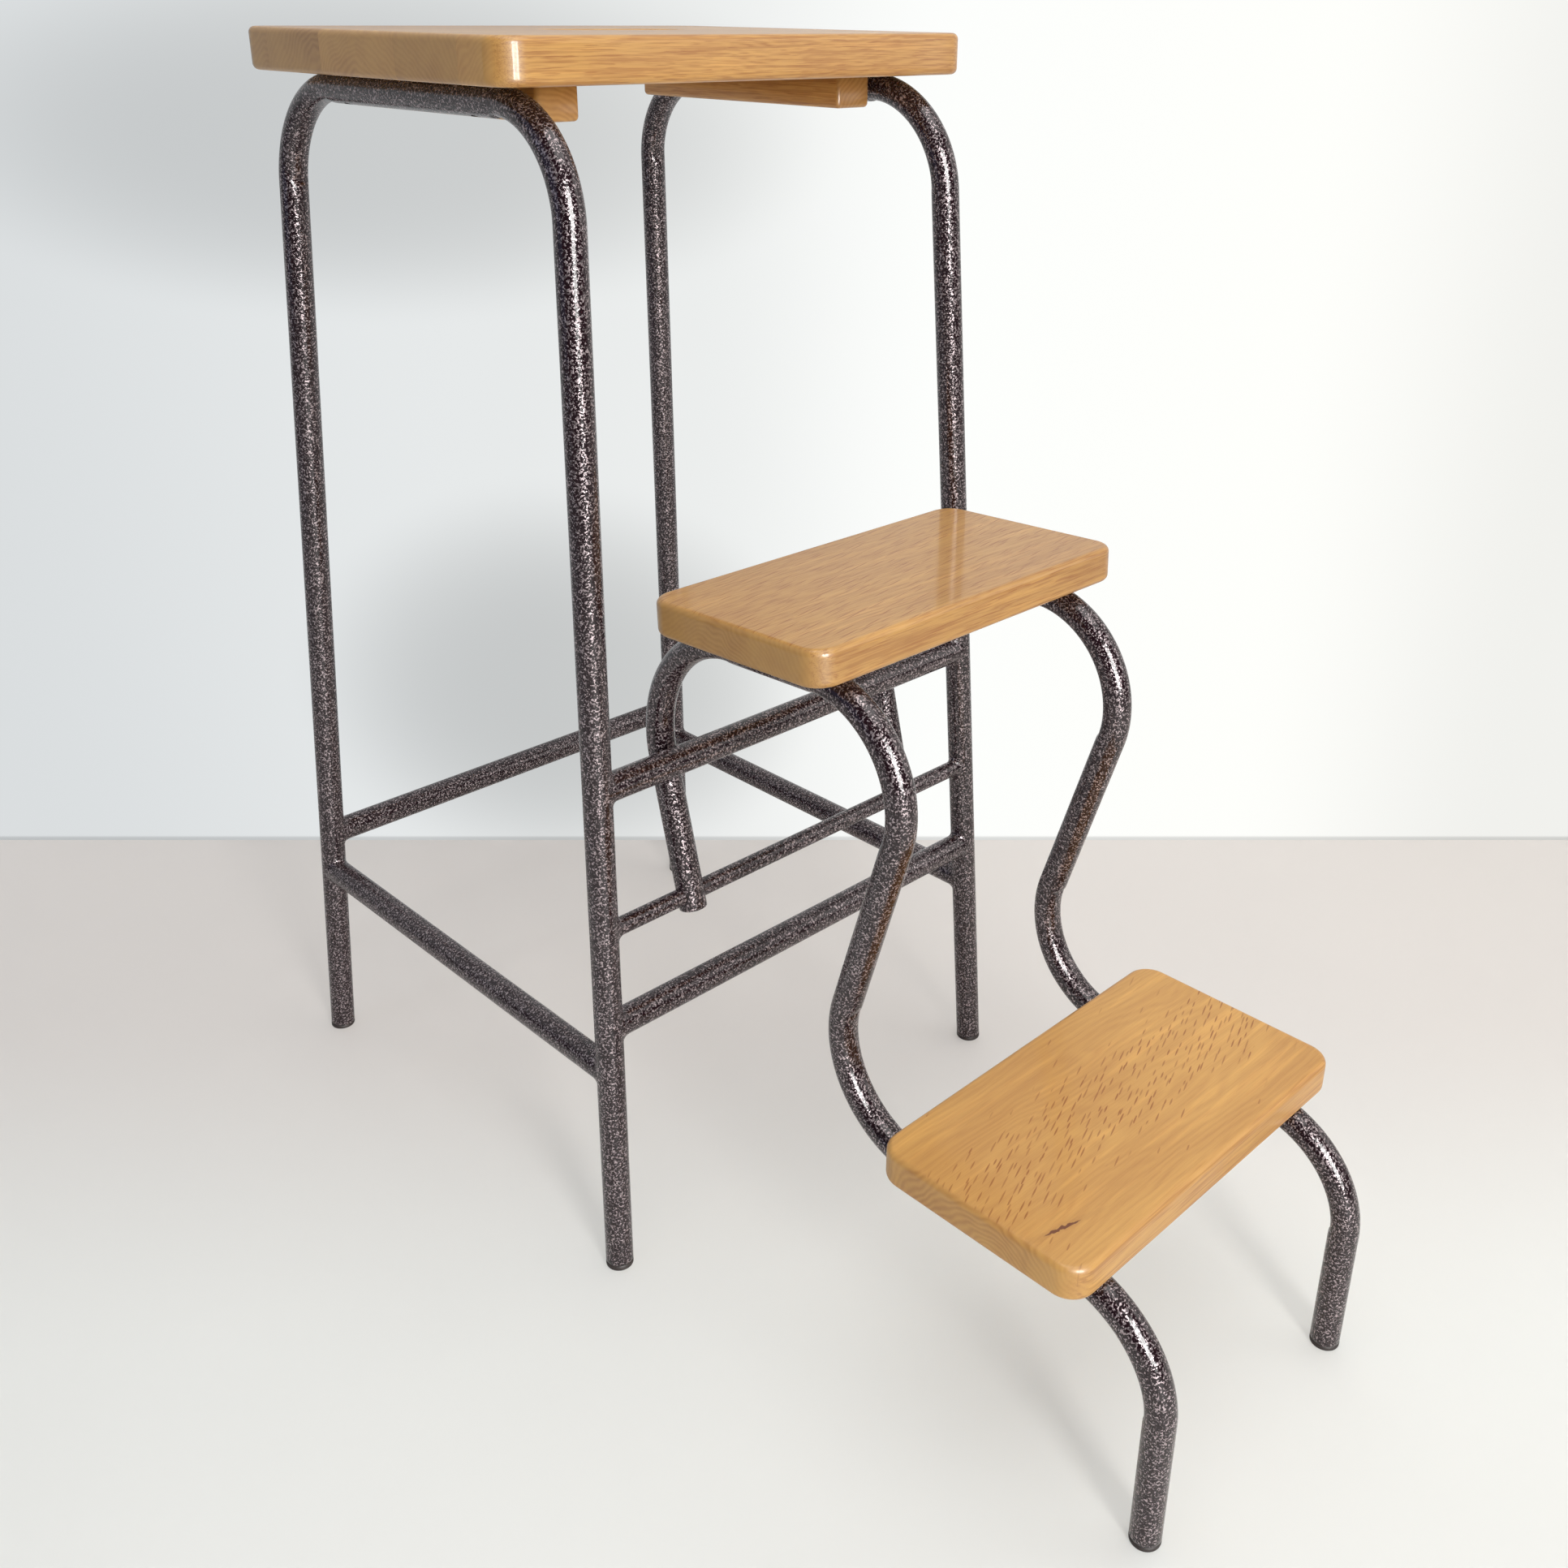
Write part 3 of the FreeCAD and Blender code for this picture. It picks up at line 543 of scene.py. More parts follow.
def bent_line(turning_points, radii, spacing):
    """Stations along straight runs joined by tangent arcs, in the plane of the bends.

    An arc starts one tangent length, its radius times the tangent of half the turn, before its corner.
    Returns the places, the unit directions, the lengths run, and each arc's start, end and turning sense.
    """
    corner = np.array(turning_points)
    legs = np.diff(corner, axis=0)
    lengths = np.linalg.norm(legs, axis=1)
    ahead = legs / lengths[:, None]
    before, after = ahead[:-1], ahead[1:]
    turn = np.arctan2(before[:, 0] * after[:, 1] - before[:, 1] * after[:, 0], (before * after).sum(1))
    tangent = np.array(radii) * np.tan(np.abs(turn) / 2)
    starts, ends = np.append(0.0, tangent), lengths - np.append(tangent, 0.0)
    places, directions, runs, arcs = [], [], [], []
    run = 0.0
    for leg in range(len(legs)):
        stretch = ends[leg] - starts[leg]
        along = np.linspace(0.0, stretch, max(3, round(stretch / spacing)) + 1)
        places.append(corner[leg] + ahead[leg] * (starts[leg] + along)[:, None])
        directions.append(np.repeat(ahead[leg][None], len(along), axis=0))
        runs.append(run + along)
        run += stretch
        if leg < len(turn):
            radius, sense = radii[leg], np.sign(turn[leg])
            count = max(6, round(abs(turn[leg]) * radius / spacing))
            angle = np.linspace(0.0, abs(turn[leg]), count + 1)[1:-1]
            left = np.array([-ahead[leg, 1], ahead[leg, 0]]) * sense
            begin = corner[leg] + ahead[leg] * ends[leg]
            sine, cosine = np.sin(angle)[:, None], np.cos(angle)[:, None]
            places.append(begin + radius * (sine * ahead[leg] + (1 - cosine) * left))
            directions.append(cosine * ahead[leg] + sine * left)
            runs.append(run + radius * angle)
            arcs.append((run, run + radius * abs(turn[leg]), sense))
            run += radius * abs(turn[leg])
    return np.vstack(places), np.vstack(directions), np.concatenate(runs), arcs


def tube_rings(line, radius, sizes):
    """Rings round a bent line: circles whose inner side is pressed flat through each bend.

    Returns the section as offsets to the left in the plane and out of the plane, one row a station. The
    pressed depth rises smoothly over the first centimetre of an arc and falls again over its last, it acts on
    the inner half as the square of the distance inward, and a narrow crease deepens it near the arc's ends.
    """
    runs, arcs = line[2:]
    angle = np.linspace(0.0, 2 * math.pi, AROUND, endpoint=False)
    left, out = np.cos(angle)[None] * radius, np.sin(angle)[None] * radius
    left = np.repeat(left, len(runs), axis=0)
    out = np.repeat(out, len(runs), axis=0)
    for start, end, sense in arcs:
        inside = smooth_step((runs - start) / PRESS_RISE) * smooth_step((end - runs) / PRESS_RISE)
        creases = (start + NOTCH_PLACE, end - NOTCH_PLACE)
        notch = sum(np.exp(-((runs - place) / NOTCH_WIDTH) ** 2) for place in creases)
        inward = np.clip(left * sense / radius, 0.0, 1.0)
        press = sizes.pressed * inside[:, None] * inward ** 2 + sizes.crease * notch[:, None] * inward ** 6
        left = left - sense * press
        out = out * (1 + PRESS_BULGE * press / radius)
    return left, out


def swept(line, sections, to_space):
    """The rings in space: place in the plane plus the left offset, and the offset out of the plane."""
    places, directions = line[:2]
    left, out = sections
    sideways = np.stack([-directions[:, 1], directions[:, 0]], axis=1)
    flat = places[:, None] + sideways[:, None] * left[..., None]
    return to_space(flat, out)


def capped_tube(rings, wall, radius, open_start=False):
    """Skin of a tube with chamfered ends; an open start shows a stretch of its bore."""
    centres = rings.mean(axis=1, keepdims=True)

    def end_ring(position, inward, share):
        """The end's ring drawn to a share of its radius and moved inward along the tube."""
        step = unit(centres[position] - centres[position + (1 if position == 0 else -1)])
        return centres[position] + (rings[position] - centres[position]) * share - step * inward

    bore = 1 - wall / radius
    edge = CHAMFER / radius
    body = [end_ring(0, CHAMFER, 1.0), *rings[1:-1], end_ring(-1, CHAMFER, 1.0)]
    head = [end_ring(0, 0.0, 1 - edge)]
    if open_start:
        inner = [end_ring(0, BORE_SHOWN, bore), end_ring(0, CHAMFER, bore), end_ring(0, 0.0, bore + edge)]
        head = inner + head
    tail = [end_ring(-1, 0.0, 1 - edge)]
    stack = np.array(head + body + tail)
    return skin(stack, stack[0].mean(axis=0), stack[-1].mean(axis=0))


def leg_foot(sizes, side, end):
    """Leg centre on the floor and the leg's unit direction."""
    foot = np.array([side * sizes.foot_half_width, stool_middle() + end * sizes.foot_half_depth, 0.0])
    lean = np.array([-side * math.tan(sizes.side_lean), -end * math.tan(sizes.leg_lean), 1.0])
    return foot, unit(lean)


def frame_tube(side_name, side, material, sizes, foot_sizes):
    """One side frame: leg, run under the seat and leg, in a plane that leans inward."""
    radius = tube_radius()
    run_height = corners("seat_board")[0][2] - radius
    lean = math.tan(sizes.leg_lean)
    slope = 1 / math.cos(sizes.side_lean)
    foot = (sizes.foot_half_depth - foot_sizes.flange * lean, foot_sizes.flange * slope)
    top = (sizes.foot_half_depth - run_height * lean, run_height * slope)
    turning_points = [(-foot[0], foot[1]), (-top[0], top[1]), (top[0], top[1]), (foot[0], foot[1])]
    line = bent_line(turning_points, [sizes.bend] * 2, STATION)
    up = np.array([-side * math.sin(sizes.side_lean), 0.0, math.cos(sizes.side_lean)])
    out = np.cross([0.0, 1.0, 0.0], up)
    start = np.array([side * sizes.foot_half_width, stool_middle(), 0.0])

    def to_space(flat, offset):
        back = np.array([0.0, 1.0, 0.0])
        return start + flat[..., :1] * back + flat[..., 1:] * up + offset[..., None] * out

    rings = swept(line, tube_rings(line, radius, sizes), to_space)
    points, faces = capped_tube(rings, sizes.wall, radius)
    name = side_name + "_side_frame"
    new_piece(name + "_tube", points, faces, material, "frame", [name])


def step_tube(side_name, material, sizes, foot_sizes):
    """One step tube: tail, upright, upper run, slanted part, lower run and foot."""
    radius = tube_radius()
    rod, bar = middle("pivot_rod")[1:], middle("front_upper_bar")[1:]
    reach = math.dist(rod, bar)
    lean = math.atan2(bar[0] - rod[0], bar[1] - rod[1]) + math.asin((2 * radius + sizes.stop_gap) / reach)
    upright = np.array([math.sin(lean), math.cos(lean)])
    forward = np.array([-math.cos(sizes.run_rise), math.sin(sizes.run_rise)])
    board = middle("upper_step_board")[1:]
    depth = extent("lower_step_board")[2] / 2 + radius
    run = board - depth * np.array([math.sin(sizes.run_rise), math.cos(sizes.run_rise)])
    lower_height = corners("lower_step_board")[0][2] - radius
    shoulder_share = np.linalg.solve(np.stack([upright, -forward], axis=1), run - rod)[0]
    shoulder = rod + upright * shoulder_share
    upper_knee_y = stool_middle() - sizes.upper_knee
    upper_knee = run + forward * (upper_knee_y - run[0]) / forward[0]
    foot = middle("left_step_foot")[1]
    turning_points = [rod - upright * sizes.tail, shoulder, upper_knee,
                      (stool_middle() - sizes.lower_knee, lower_height), (foot, lower_height),
                      (foot, foot_sizes.flange)]
    line = bent_line(turning_points, [sizes.shoulder] + [sizes.bend] * 3, STATION)
    x = middle(side_name + "_step_foot")[0]

    def to_space(flat, offset):
        return np.concatenate([x + offset[..., None], flat], axis=-1)

    rings = swept(line, tube_rings(line, radius, sizes), to_space)
    points, faces = capped_tube(rings, sizes.wall, radius, open_start=True)
    name = side_name + "_step_tube"
    new_piece(name + "_bent", points, faces, material, "step_unit", [name])


def welded_bar(name, legs, material, sizes):
    """Straight bar between two legs with a weld bead at each end.

    Every line of the bar's side is cut where it meets the leg's cylinder: the farther root of the squared
    distance to the leg's axis equal to the squared tube radius. The bead is a quadratic curve from the leg's
    surface, by way of that cut, to the bar's side, and its width waves a little round the bar.
    """
    radius, height, tube = extent(name)[2] / 2, middle(name)[2], tube_radius()
    ends = [foot + lean * (height / lean[2]) for foot, lean in legs]
    axis = unit(ends[1] - ends[0])
    side = unit(np.cross([0.0, 0.0, 1.0], axis))
    angle, round_bar = circle(side, np.cross(axis, side))
    waves = sum(rise * np.sin(count * angle + height * turning) for rise, count, turning in WELD_WAVES)
    bead = (sizes.bead * (1 + waves))[:, None]
    half = []
    for (foot, lean), end, inward in zip(legs, ends, (axis, -axis)):
        across = unit(np.cross(lean, inward))

        def cut(offset):
            """Point on the leg's surface on the line through this offset, the offset held within the leg."""
            beside = (offset @ across)[:, None]
            limit = CUT_WITHIN * tube
            offset = offset + (np.clip(beside, -limit, limit) - beside) * across
            part = offset - (offset @ lean)[:, None] * lean
            heading = inward - (inward @ lean) * lean
            square = heading @ heading
            slant = part @ heading
            root = np.sqrt(np.maximum(slant ** 2 - square * ((part ** 2).sum(1) - tube ** 2), 0.0))
            return end + offset + ((root - slant) / square)[:, None] * inward

        meeting = cut(round_bar * radius)
        outer = cut(round_bar * (radius + bead))
        onto_bar = meeting + bead * inward
        share = np.linspace(0.0, 1.0, WELD_RINGS)[:, None, None]
        rest = 1 - share
        half.append(rest ** 2 * outer + 2 * share * rest * meeting + share ** 2 * onto_bar)
    rings = np.vstack([half[0], half[1][::-1]])
    points, faces = skin(rings, ends[0], ends[1])
    new_piece(name + "_welded", points, faces, material, "frame", [name])


def foot_plug(name, foot, lean, material, sizes, body):
    """Plug flange between the tube's end and the floor, its lower edge rounded.

    Each side line of the leaning cylinder runs from the floor up to the tube's end plane; the rounding draws
    the lowest rings in sideways by a quarter circle.
    """
    radius = tube_radius()
    side = unit(np.cross([0.0, 1.0, 0.0], lean))
    spoke = circle(side, np.cross(lean, side))[1]
    centre = foot + lean * (sizes.flange / lean[2])
    top = centre + spoke * radius
    sole = foot + spoke * radius - lean * (spoke[:, 2:] * radius / lean[2])
    outward = (sole - foot) / np.linalg.norm(sole - foot, axis=1, keepdims=True)
    turn = np.linspace(0.0, math.pi / 2, SOLE_POINTS)
    rise, inset = sizes.edge * (1 - np.cos(turn)), sizes.edge * (1 - np.sin(turn))
    rings = [sole + lean * (up / lean[2]) - outward * inward for up, inward in zip(rise, inset)]
    rings += [top - lean * RIM, top - spoke * RIM]
    points, faces = skin(np.array(rings), foot, centre)
    new_piece(name + "_plug", points, faces, material, body, [name])


def between(count):
    """Even shares between nought and one, both left out."""
    return np.linspace(0.0, 1.0, count + 2)[1:-1]


def rounded_loop(half_width, half_depth, corner):
    """Anticlockwise loop of four quarter circles joined by straight sides."""
    turn = np.linspace(0.0, math.pi / 2, CORNER_POINTS)
    side = between(SIDE_POINTS)[:, None]
    arcs = []
    for quarter, (x, y) in enumerate(((1, 1), (-1, 1), (-1, -1), (1, -1))):
        centre = np.array([x * (half_width - corner), y * (half_depth - corner)])
        angle = turn + quarter * math.pi / 2
        arcs.append(centre + corner * np.stack([np.cos(angle), np.sin(angle)], axis=1))
    pieces = []
    for arc, after in zip(arcs, arcs[1:] + arcs[:1]):
        pieces += [arc, arc[-1] + (after[0] - arc[-1]) * side]
    return np.vstack(pieces)


def edge_profile(thick, edge):
    """Inset and height up the side of a board.

    A quarter circle, a straight side and a quarter circle, with a support loop where each rounding ends.
    """
    turn = np.linspace(0.0, math.pi / 2, EDGE_POINTS)
    inset = np.concatenate([[edge + SUPPORT], edge * (1 - np.sin(turn)), [0.0]])
    height = np.concatenate([[0.0], edge * (1 - np.cos(turn)), [edge + SUPPORT]])
    return np.append(inset, inset[::-1]), np.append(height, thick - height[::-1])


def board_rings(half_width, half_depth, corner, thick, edge, outward=1.0):
    """Rings up the side of a board, or down the wall of a slot where the insets go outward."""
    inset, height = edge_profile(thick, edge)
    loops = [rounded_loop(half_width - step, half_depth - step, corner - step) for step in outward * inset]
    return np.array([np.column_stack([loop, np.full(len(loop), z)]) for loop, z in zip(loops, height)])


def seat_board(material, sizes):
    """Seat: its rounded side, its top drawn in to the hand slot, the slot's wall, and its underside."""
    low, high = corners("seat_board")
    half, thick = (high - low)[:2] / 2, (high - low)[2]
    outer = board_rings(*half, sizes.seat_corner, thick, sizes.edge)
    slot_end = sizes.slot_width / 2
    inner = board_rings(sizes.slot_length / 2, slot_end, slot_end, thick, sizes.edge, -1.0)
    share = between(FACE_RINGS)[:, None, None]
    top = outer[-1] + (inner[-1] - outer[-1]) * share
    under = inner[0] + (outer[0] - inner[0]) * share
    rings = np.concatenate([outer, top, inner[::-1], under])
    points, faces = skin(rings, looped=True)
    points = points + np.array([*(low + high)[:2] / 2, low[2]])
    new_piece("seat_board_oak", points, faces, material, "frame", ["seat_board"])


def step_board(level, rise, material, sizes):
    """Step board: rings from the middle of its underside, up its side and in to the middle of its top.

    The whole is tilted about the board's middle.
    """
    centre = middle(level + "_step_board")
    half_width = extent(level + "_step_board")[0] / 2
    side = board_rings(half_width, sizes.step_depth / 2, sizes.step_corner, sizes.step_thick, sizes.edge)
    share = between(FACE_RINGS)[:, None, None]
    plan, tip = np.array([1.0, 1.0, 0.0]), np.array([0.0, 0.0, 1.0])
    under = side[0] * share * plan + side[0] * tip
    top = side[-1] * (1 - share) * plan + side[-1] * tip
    rings = np.concatenate([under, side, top]) - tip * sizes.step_thick / 2
    points, faces = skin(rings, rings[0].mean(axis=0), rings[-1].mean(axis=0))
    tilt = np.array(Matrix.Rotation(-rise, 3, "X"))
    new_piece(level + "_step_board_oak", points @ tilt.T + centre, faces, material, "step_unit",
              [level + "_step_board"])


def merged_copy(node, name, material, body):
    """The node's own form with its triangles joined, smooth but for edges over 35 degrees."""
    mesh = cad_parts[node].data.copy()
    mesh.name = name
    joined = bmesh.new()
    joined.from_mesh(mesh)
    bmesh.ops.remove_doubles(joined, verts=joined.verts, dist=JOINED_WITHIN)
    joined.to_mesh(mesh)
    joined.free()
    mesh.shade_smooth()
    mesh.set_sharp_from_angle(angle=SHARP_OVER)
    place_piece(name, mesh, material, body, [node])


def recolour(node, material):
    """A node of the frame keeps its form and gets a better material."""
    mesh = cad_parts[node].data
    mesh.materials.clear()
    mesh.materials.append(material)


# Operators

def frame_paint(scene):
    """The paint of the frame's tubes, made once."""
    name = "frame_paint_hammer"
    made = bpy.data.materials.get(name)
    return made or hammer_paint(name, scene.stool_finishes, scene.stool_tubes, ["seat_screws"])


class BuildSideFrames(bpy.types.Operator):
    """Build the two bent side frames"""
    bl_idname = "step_stool.side_frames"
    bl_label = "Side frames"

    def execute(self, context):
        scene = context.scene
        for side_name, side in SIDES:
            frame_tube(side_name, side, frame_paint(scene), scene.stool_tubes, scene.stool_feet)
        return {"FINISHED"}


class BuildBars(bpy.types.Operator):
    """Build the straight bars and the pivot rod between the legs, with their weld beads"""
    bl_idname = "step_stool.bars"
    bl_label = "Bars and pivot rod"

    def execute(self, context):
        sizes, paint = context.scene.stool_tubes, frame_paint(context.scene)
        ends = {"front_upper_bar": -1, "front_lower_bar": -1, "rear_bar": 1, "pivot_rod": -1}
        for name, end in ends.items():
            welded_bar(name, [leg_foot(sizes, side, end) for _, side in SIDES], paint, sizes)
        for side_name, side in SIDES:
            welded_bar(side_name + "_side_bar", [leg_foot(sizes, side, end) for _, end in ENDS], paint, sizes)
        return {"FINISHED"}


class BuildStepTubes(bpy.types.Operator):
    """Build the two bent tubes of the step unit"""
    bl_idname = "step_stool.step_tubes"
    bl_label = "Step tubes"

    def execute(self, context):
        scene = context.scene
        paint = hammer_paint("step_paint_hammer", scene.stool_finishes, scene.stool_tubes,
                             ["upper_step_screws", "lower_step_screws"], "pivot_rod")
        for side_name, _ in SIDES:
            step_tube(side_name, paint, scene.stool_tubes, scene.stool_feet)
        return {"FINISHED"}


class BuildFeet(bpy.types.Operator):
    """Build the six plastic plugs in the tube ends"""
    bl_idname = "step_stool.feet"
    bl_label = "Feet"

    def execute(self, context):
        scene = context.scene
        plastic, sizes = foot_plastic(scene.stool_finishes), scene.stool_feet
        for side_name, side in SIDES:
            for end_name, end in ENDS:
                foot, lean = leg_foot(scene.stool_tubes, side, end)
                foot_plug("%s_%s_foot" % (end_name, side_name), foot, lean, plastic, sizes, "frame")
            name = side_name + "_step_foot"
            place = middle(name) * np.array([1.0, 1.0, 0.0])
            foot_plug(name, place, np.array([0.0, 0.0, 1.0]), plastic, sizes, "step_unit")
        return {"FINISHED"}


class BuildSeat(bpy.types.Operator):
    """Build the oak seat with its hand slot, and its two battens"""
    bl_idname = "step_stool.seat"
    bl_label = "Seat and battens"

    def execute(self, context):
        scene = context.scene
        looks = scene.stool_finishes
        joints = [stool_middle() + offset * MM for offset in (-106, -41, 44, 110, 138)]
        seat_board(oak("seat_oak_staves", looks, "seat_board", joints=joints, seed=3.0), scene.stool_boards)
        for side_name, side in SIDES:
            name = side_name + "_seat_batten"
            # The battens are made a fifth lighter: painted light that makes up for the dim light under the
            # seat.
            wood = oak(side_name + "_batten_oak", looks, name, grain="Y", seed=11.0 + side, tone_and_painted_light=1.2)
            merged_copy(name, name + "_oak", wood, "frame")
        return {"FINISHED"}


class BuildSteps(bpy.types.Operator):
    """Build the two oak step boards"""
    bl_idname = "step_stool.steps"
    bl_label = "Step boards"

    def execute(self, context):
        scene = context.scene
        looks = scene.stool_finishes
        upper_place, lower_place = middle("upper_step_board"), middle("lower_step_board")
        rays = {"slant": math.radians(11), "spacing": (24 * MM, 6 * MM), "half": (11 * MM, 0.5 * MM),
                "centre": upper_place[1], "band": 120 * MM, "strength": 1.0}
        upper = oak("upper_step_oak", looks, "upper_step_board", seed=21.0, flecks=rays, tone_and_painted_light=0.93,
                    end_tone=0.9, fibres=0.4)
        spindles = {"slant": math.radians(20), "spacing": (12 * MM, 5 * MM), "half": (6.5 * MM, 0.6 * MM),
                    "centre": lower_place[1], "band": 40 * MM, "strength": 0.95}
        mark = {"slant": math.radians(-14), "half": (13 * MM, 1.1 * MM),
                "centre": (-112.8 * MM, lower_place[1] - 45 * MM)}
        lower = oak("lower_step_oak", looks, "lower_step_board", seed=32.0, flecks=spindles, split=mark,
                    tone_and_painted_light=1.2, end_tone=1.05, gloss=0.3, fibres=0.15, pores=0.1)
        step_board("upper", scene.stool_tubes.run_rise, upper, scene.stool_boards)
        step_board("lower", 0.0, lower, scene.stool_boards)
        return {"FINISHED"}


class FinishScrews(bpy.types.Operator):
    """Give the screws their plated steel"""
    bl_idname = "step_stool.screws"
    bl_label = "Screws"

    def execute(self, context):
        steel = screw_steel(context.scene.stool_finishes)
        for node in ("seat_screws", "batten_screws", "upper_step_screws", "lower_step_screws"):
            recolour(node, steel)
        return {"FINISHED"}


# Room, lamps and camera

CAMERA_PLACE = Vector((-675.03, -690.69, 808.72)) * MM
CAMERA_RIGHT = Vector((0.707194, -0.706929, 0.011302))
CAMERA_UP = Vector((0.273272, 0.288048, 0.917797))
CAMERA_AHEAD = Vector((0.652073, 0.645972, -0.396889))
IMAGE_SIDE_PX = 1932
FOCAL_PX = 1907.67
CENTRE_PX = (1029.12, 831.25)
SENSOR = 36.0
WALL_BASE_PX = 1035
# Painted light and shade of the room: the wall's and the floor's strength at pixel columns along the wall's
# foot, painted shadows of the stool on the wall (middle, half size, depth, in pixels), the floor's brighter
# front between two pixel rows, its glow seen only by the camera, and the painted shade at the wall's foot.
WALL_LIGHT_STOPS_PX = ((0, 0.74), (640, 0.83), (850, 0.86), (1150, 1.0), (1500, 1.0), (1850, 0.88))
WALL_SHADOWS_PX = (((440, 165), (620, 260), 0.25), ((690, 850), (340, 270), 0.29))
FLOOR_LIGHT_STOPS_PX = ((0, 0.87), (900, 0.92), (1500, 0.91))
FLOOR_NEAR_PX, FLOOR_FAR_PX = 1690, 1230
FLOOR_GLOW, GLOW_STRENGTH = 0.4, 1.06
WALL_FOOT, WALL_FOOT_SHADE = (2 * MM, 6 * MM), 0.72
WALL_MIRRORED = 0.8
DAYLIGHT, DAYLIGHT_MIRRORED = 0.16, 0.06
ROOM_REACH = 6.0
LAMP_TARGET = (0.0, 0.1, 0.4)
WINDOW = (-0.85, -2.3, 1.25)
LAMPS = (
    ("window_front", WINDOW, (0.5, 1.7), 36, (1.0, 0.98, 0.95)),
    ("window_glint", WINDOW, (0.9, 1.5), 135, (1.0, 0.99, 0.98), True),
    ("window_left", (-2.2, 0.9, 1.2), (1.6, 1.8), 3, (0.4, 0.6, 1.0)),
    ("room_right", (2.2, -1.7, 1.5), (1.8, 1.8), 16, (1.0, 0.98, 0.95)),
    ("ceiling", (0.0, -0.4, 2.7), (2.0, 2.0), 34, (1.0, 0.99, 0.97)),
)


def seen_point(across_px, down_px, foot=Vector((0.0, 0.0, 0.0)), normal=Vector((0.0, 0.0, 1.0))):
    """The place on the floor, or on the plane through a foot point, that a point of the picture shows.

    The ray leaves the camera and is as long as its reach along the plane's normal needs.
    """
    ray = CAMERA_AHEAD + CAMERA_RIGHT * ((across_px - CENTRE_PX[0]) / FOCAL_PX)
    ray = ray - CAMERA_UP * ((down_px - CENTRE_PX[1]) / FOCAL_PX)
    return CAMERA_PLACE + ray * ((foot - CAMERA_PLACE).dot(normal) / ray.dot(normal))


def wall_stops(stops, direction):
    """Stops given across the picture, at the foot of the wall, as distances along the wall."""
    return [(direction.dot(seen_point(across, WALL_BASE_PX)), strength) for across, strength in stops]


def wall_shadows(foot, direction, ahead):
    """Middle, half size and depth on the wall of each painted shadow that is given in the picture."""
    shadows = []
    for (across, down), (reach, rise), depth in WALL_SHADOWS_PX:
        heart, edge = (seen_point(across + step * reach, down - step * rise, foot, ahead) for step in (0, 1))
        beyond = edge - heart
        shadows.append(((direction.dot(heart), heart.z), (direction.dot(beyond), beyond.z), depth))
    return shadows


def add_camera():
    data = bpy.data.cameras.new("camera")
    data.sensor_width = SENSOR
    data.lens = FOCAL_PX / IMAGE_SIDE_PX * SENSOR
    data.shift_x = (IMAGE_SIDE_PX / 2 - CENTRE_PX[0]) / IMAGE_SIDE_PX
    data.shift_y = (CENTRE_PX[1] - IMAGE_SIDE_PX / 2) / IMAGE_SIDE_PX
    data.clip_start = 0.05
    camera = bpy.data.objects.new("camera", data)
    turned = Matrix((CAMERA_RIGHT, CAMERA_UP, -CAMERA_AHEAD)).transposed()
    camera.matrix_world = Matrix.Translation(CAMERA_PLACE) @ turned.to_4x4()
    bpy.context.scene.collection.objects.link(camera)
    bpy.context.scene.camera = camera


def add_lamp(name, place, size, power, colour, glossy_only=False):
    """Rectangular soft lamp that faces the target, or one that is only seen in glossy surfaces."""
    data = bpy.data.lights.new(name, "AREA")
    data.shape = "RECTANGLE"
    data.size, data.size_y = size
    data.energy = power
    data.color = colour
    lamp = bpy.data.objects.new(name, data)
    lamp.location = place
    lamp.visible_diffuse = not glossy_only
    lamp.rotation_euler = (Vector(LAMP_TARGET) - Vector(place)).to_track_quat("-Z", "Y").to_euler()
    bpy.context.scene.collection.objects.link(lamp)


def room_plane(name, points, material):
    """One flat four-cornered surface of the room."""
    mesh = bpy.data.meshes.new(name)
    mesh.from_pydata(points, [], [(0, 1, 2, 3)])
    mesh.materials.append(material)
    plane = bpy.data.objects.new(name, mesh)
    bpy.context.scene.collection.objects.link(plane)


def graded(shader, value, stops):
    """Strength carried smoothly from stop to stop; each stop is a value and the strength there."""
    strength = stops[0][1]
    for (low, before), (high, after) in zip(stops, stops[1:]):
        strength = strength + (after - before) * shader.ease(value, low, high)
    return strength


def floor_material(colour, near_colour, stops, direction, depths, ahead):
    """Matt pale floor with faint clouds and painted light: brighter in front and graded along the wall; a
    glow seen only by the camera softens its shadows.
    """
    shader = Shader(bpy.data.materials.new("floor_pale"))
    place = object_place(shader)
    along = shader.vector("DOT_PRODUCT", place, direction, output="Value")
    away = shader.vector("DOT_PRODUCT", place, ahead, output="Value")
    clouds = shader.noise(place, 1.6)
    # Painted light: the floor is graded along the wall and brighter in front.
    shade = graded(shader, along, stops) * (1 - 0.02 * shader.ease(clouds, 0.35, 0.65))
    tint = shader.scaled(shade, shader.mix(shader.ease(away, *depths), near_colour, colour))
    glow = FLOOR_GLOW * shader.add("ShaderNodeLightPath", output="Is Camera Ray")
    return shader.finish(Base_Color=shader.scaled(1 - glow, tint), Roughness=0.55, Specular_IOR_Level=0.25,
                         Emission_Color=shader.scaled(glow, tint), Emission_Strength=GLOW_STRENGTH)


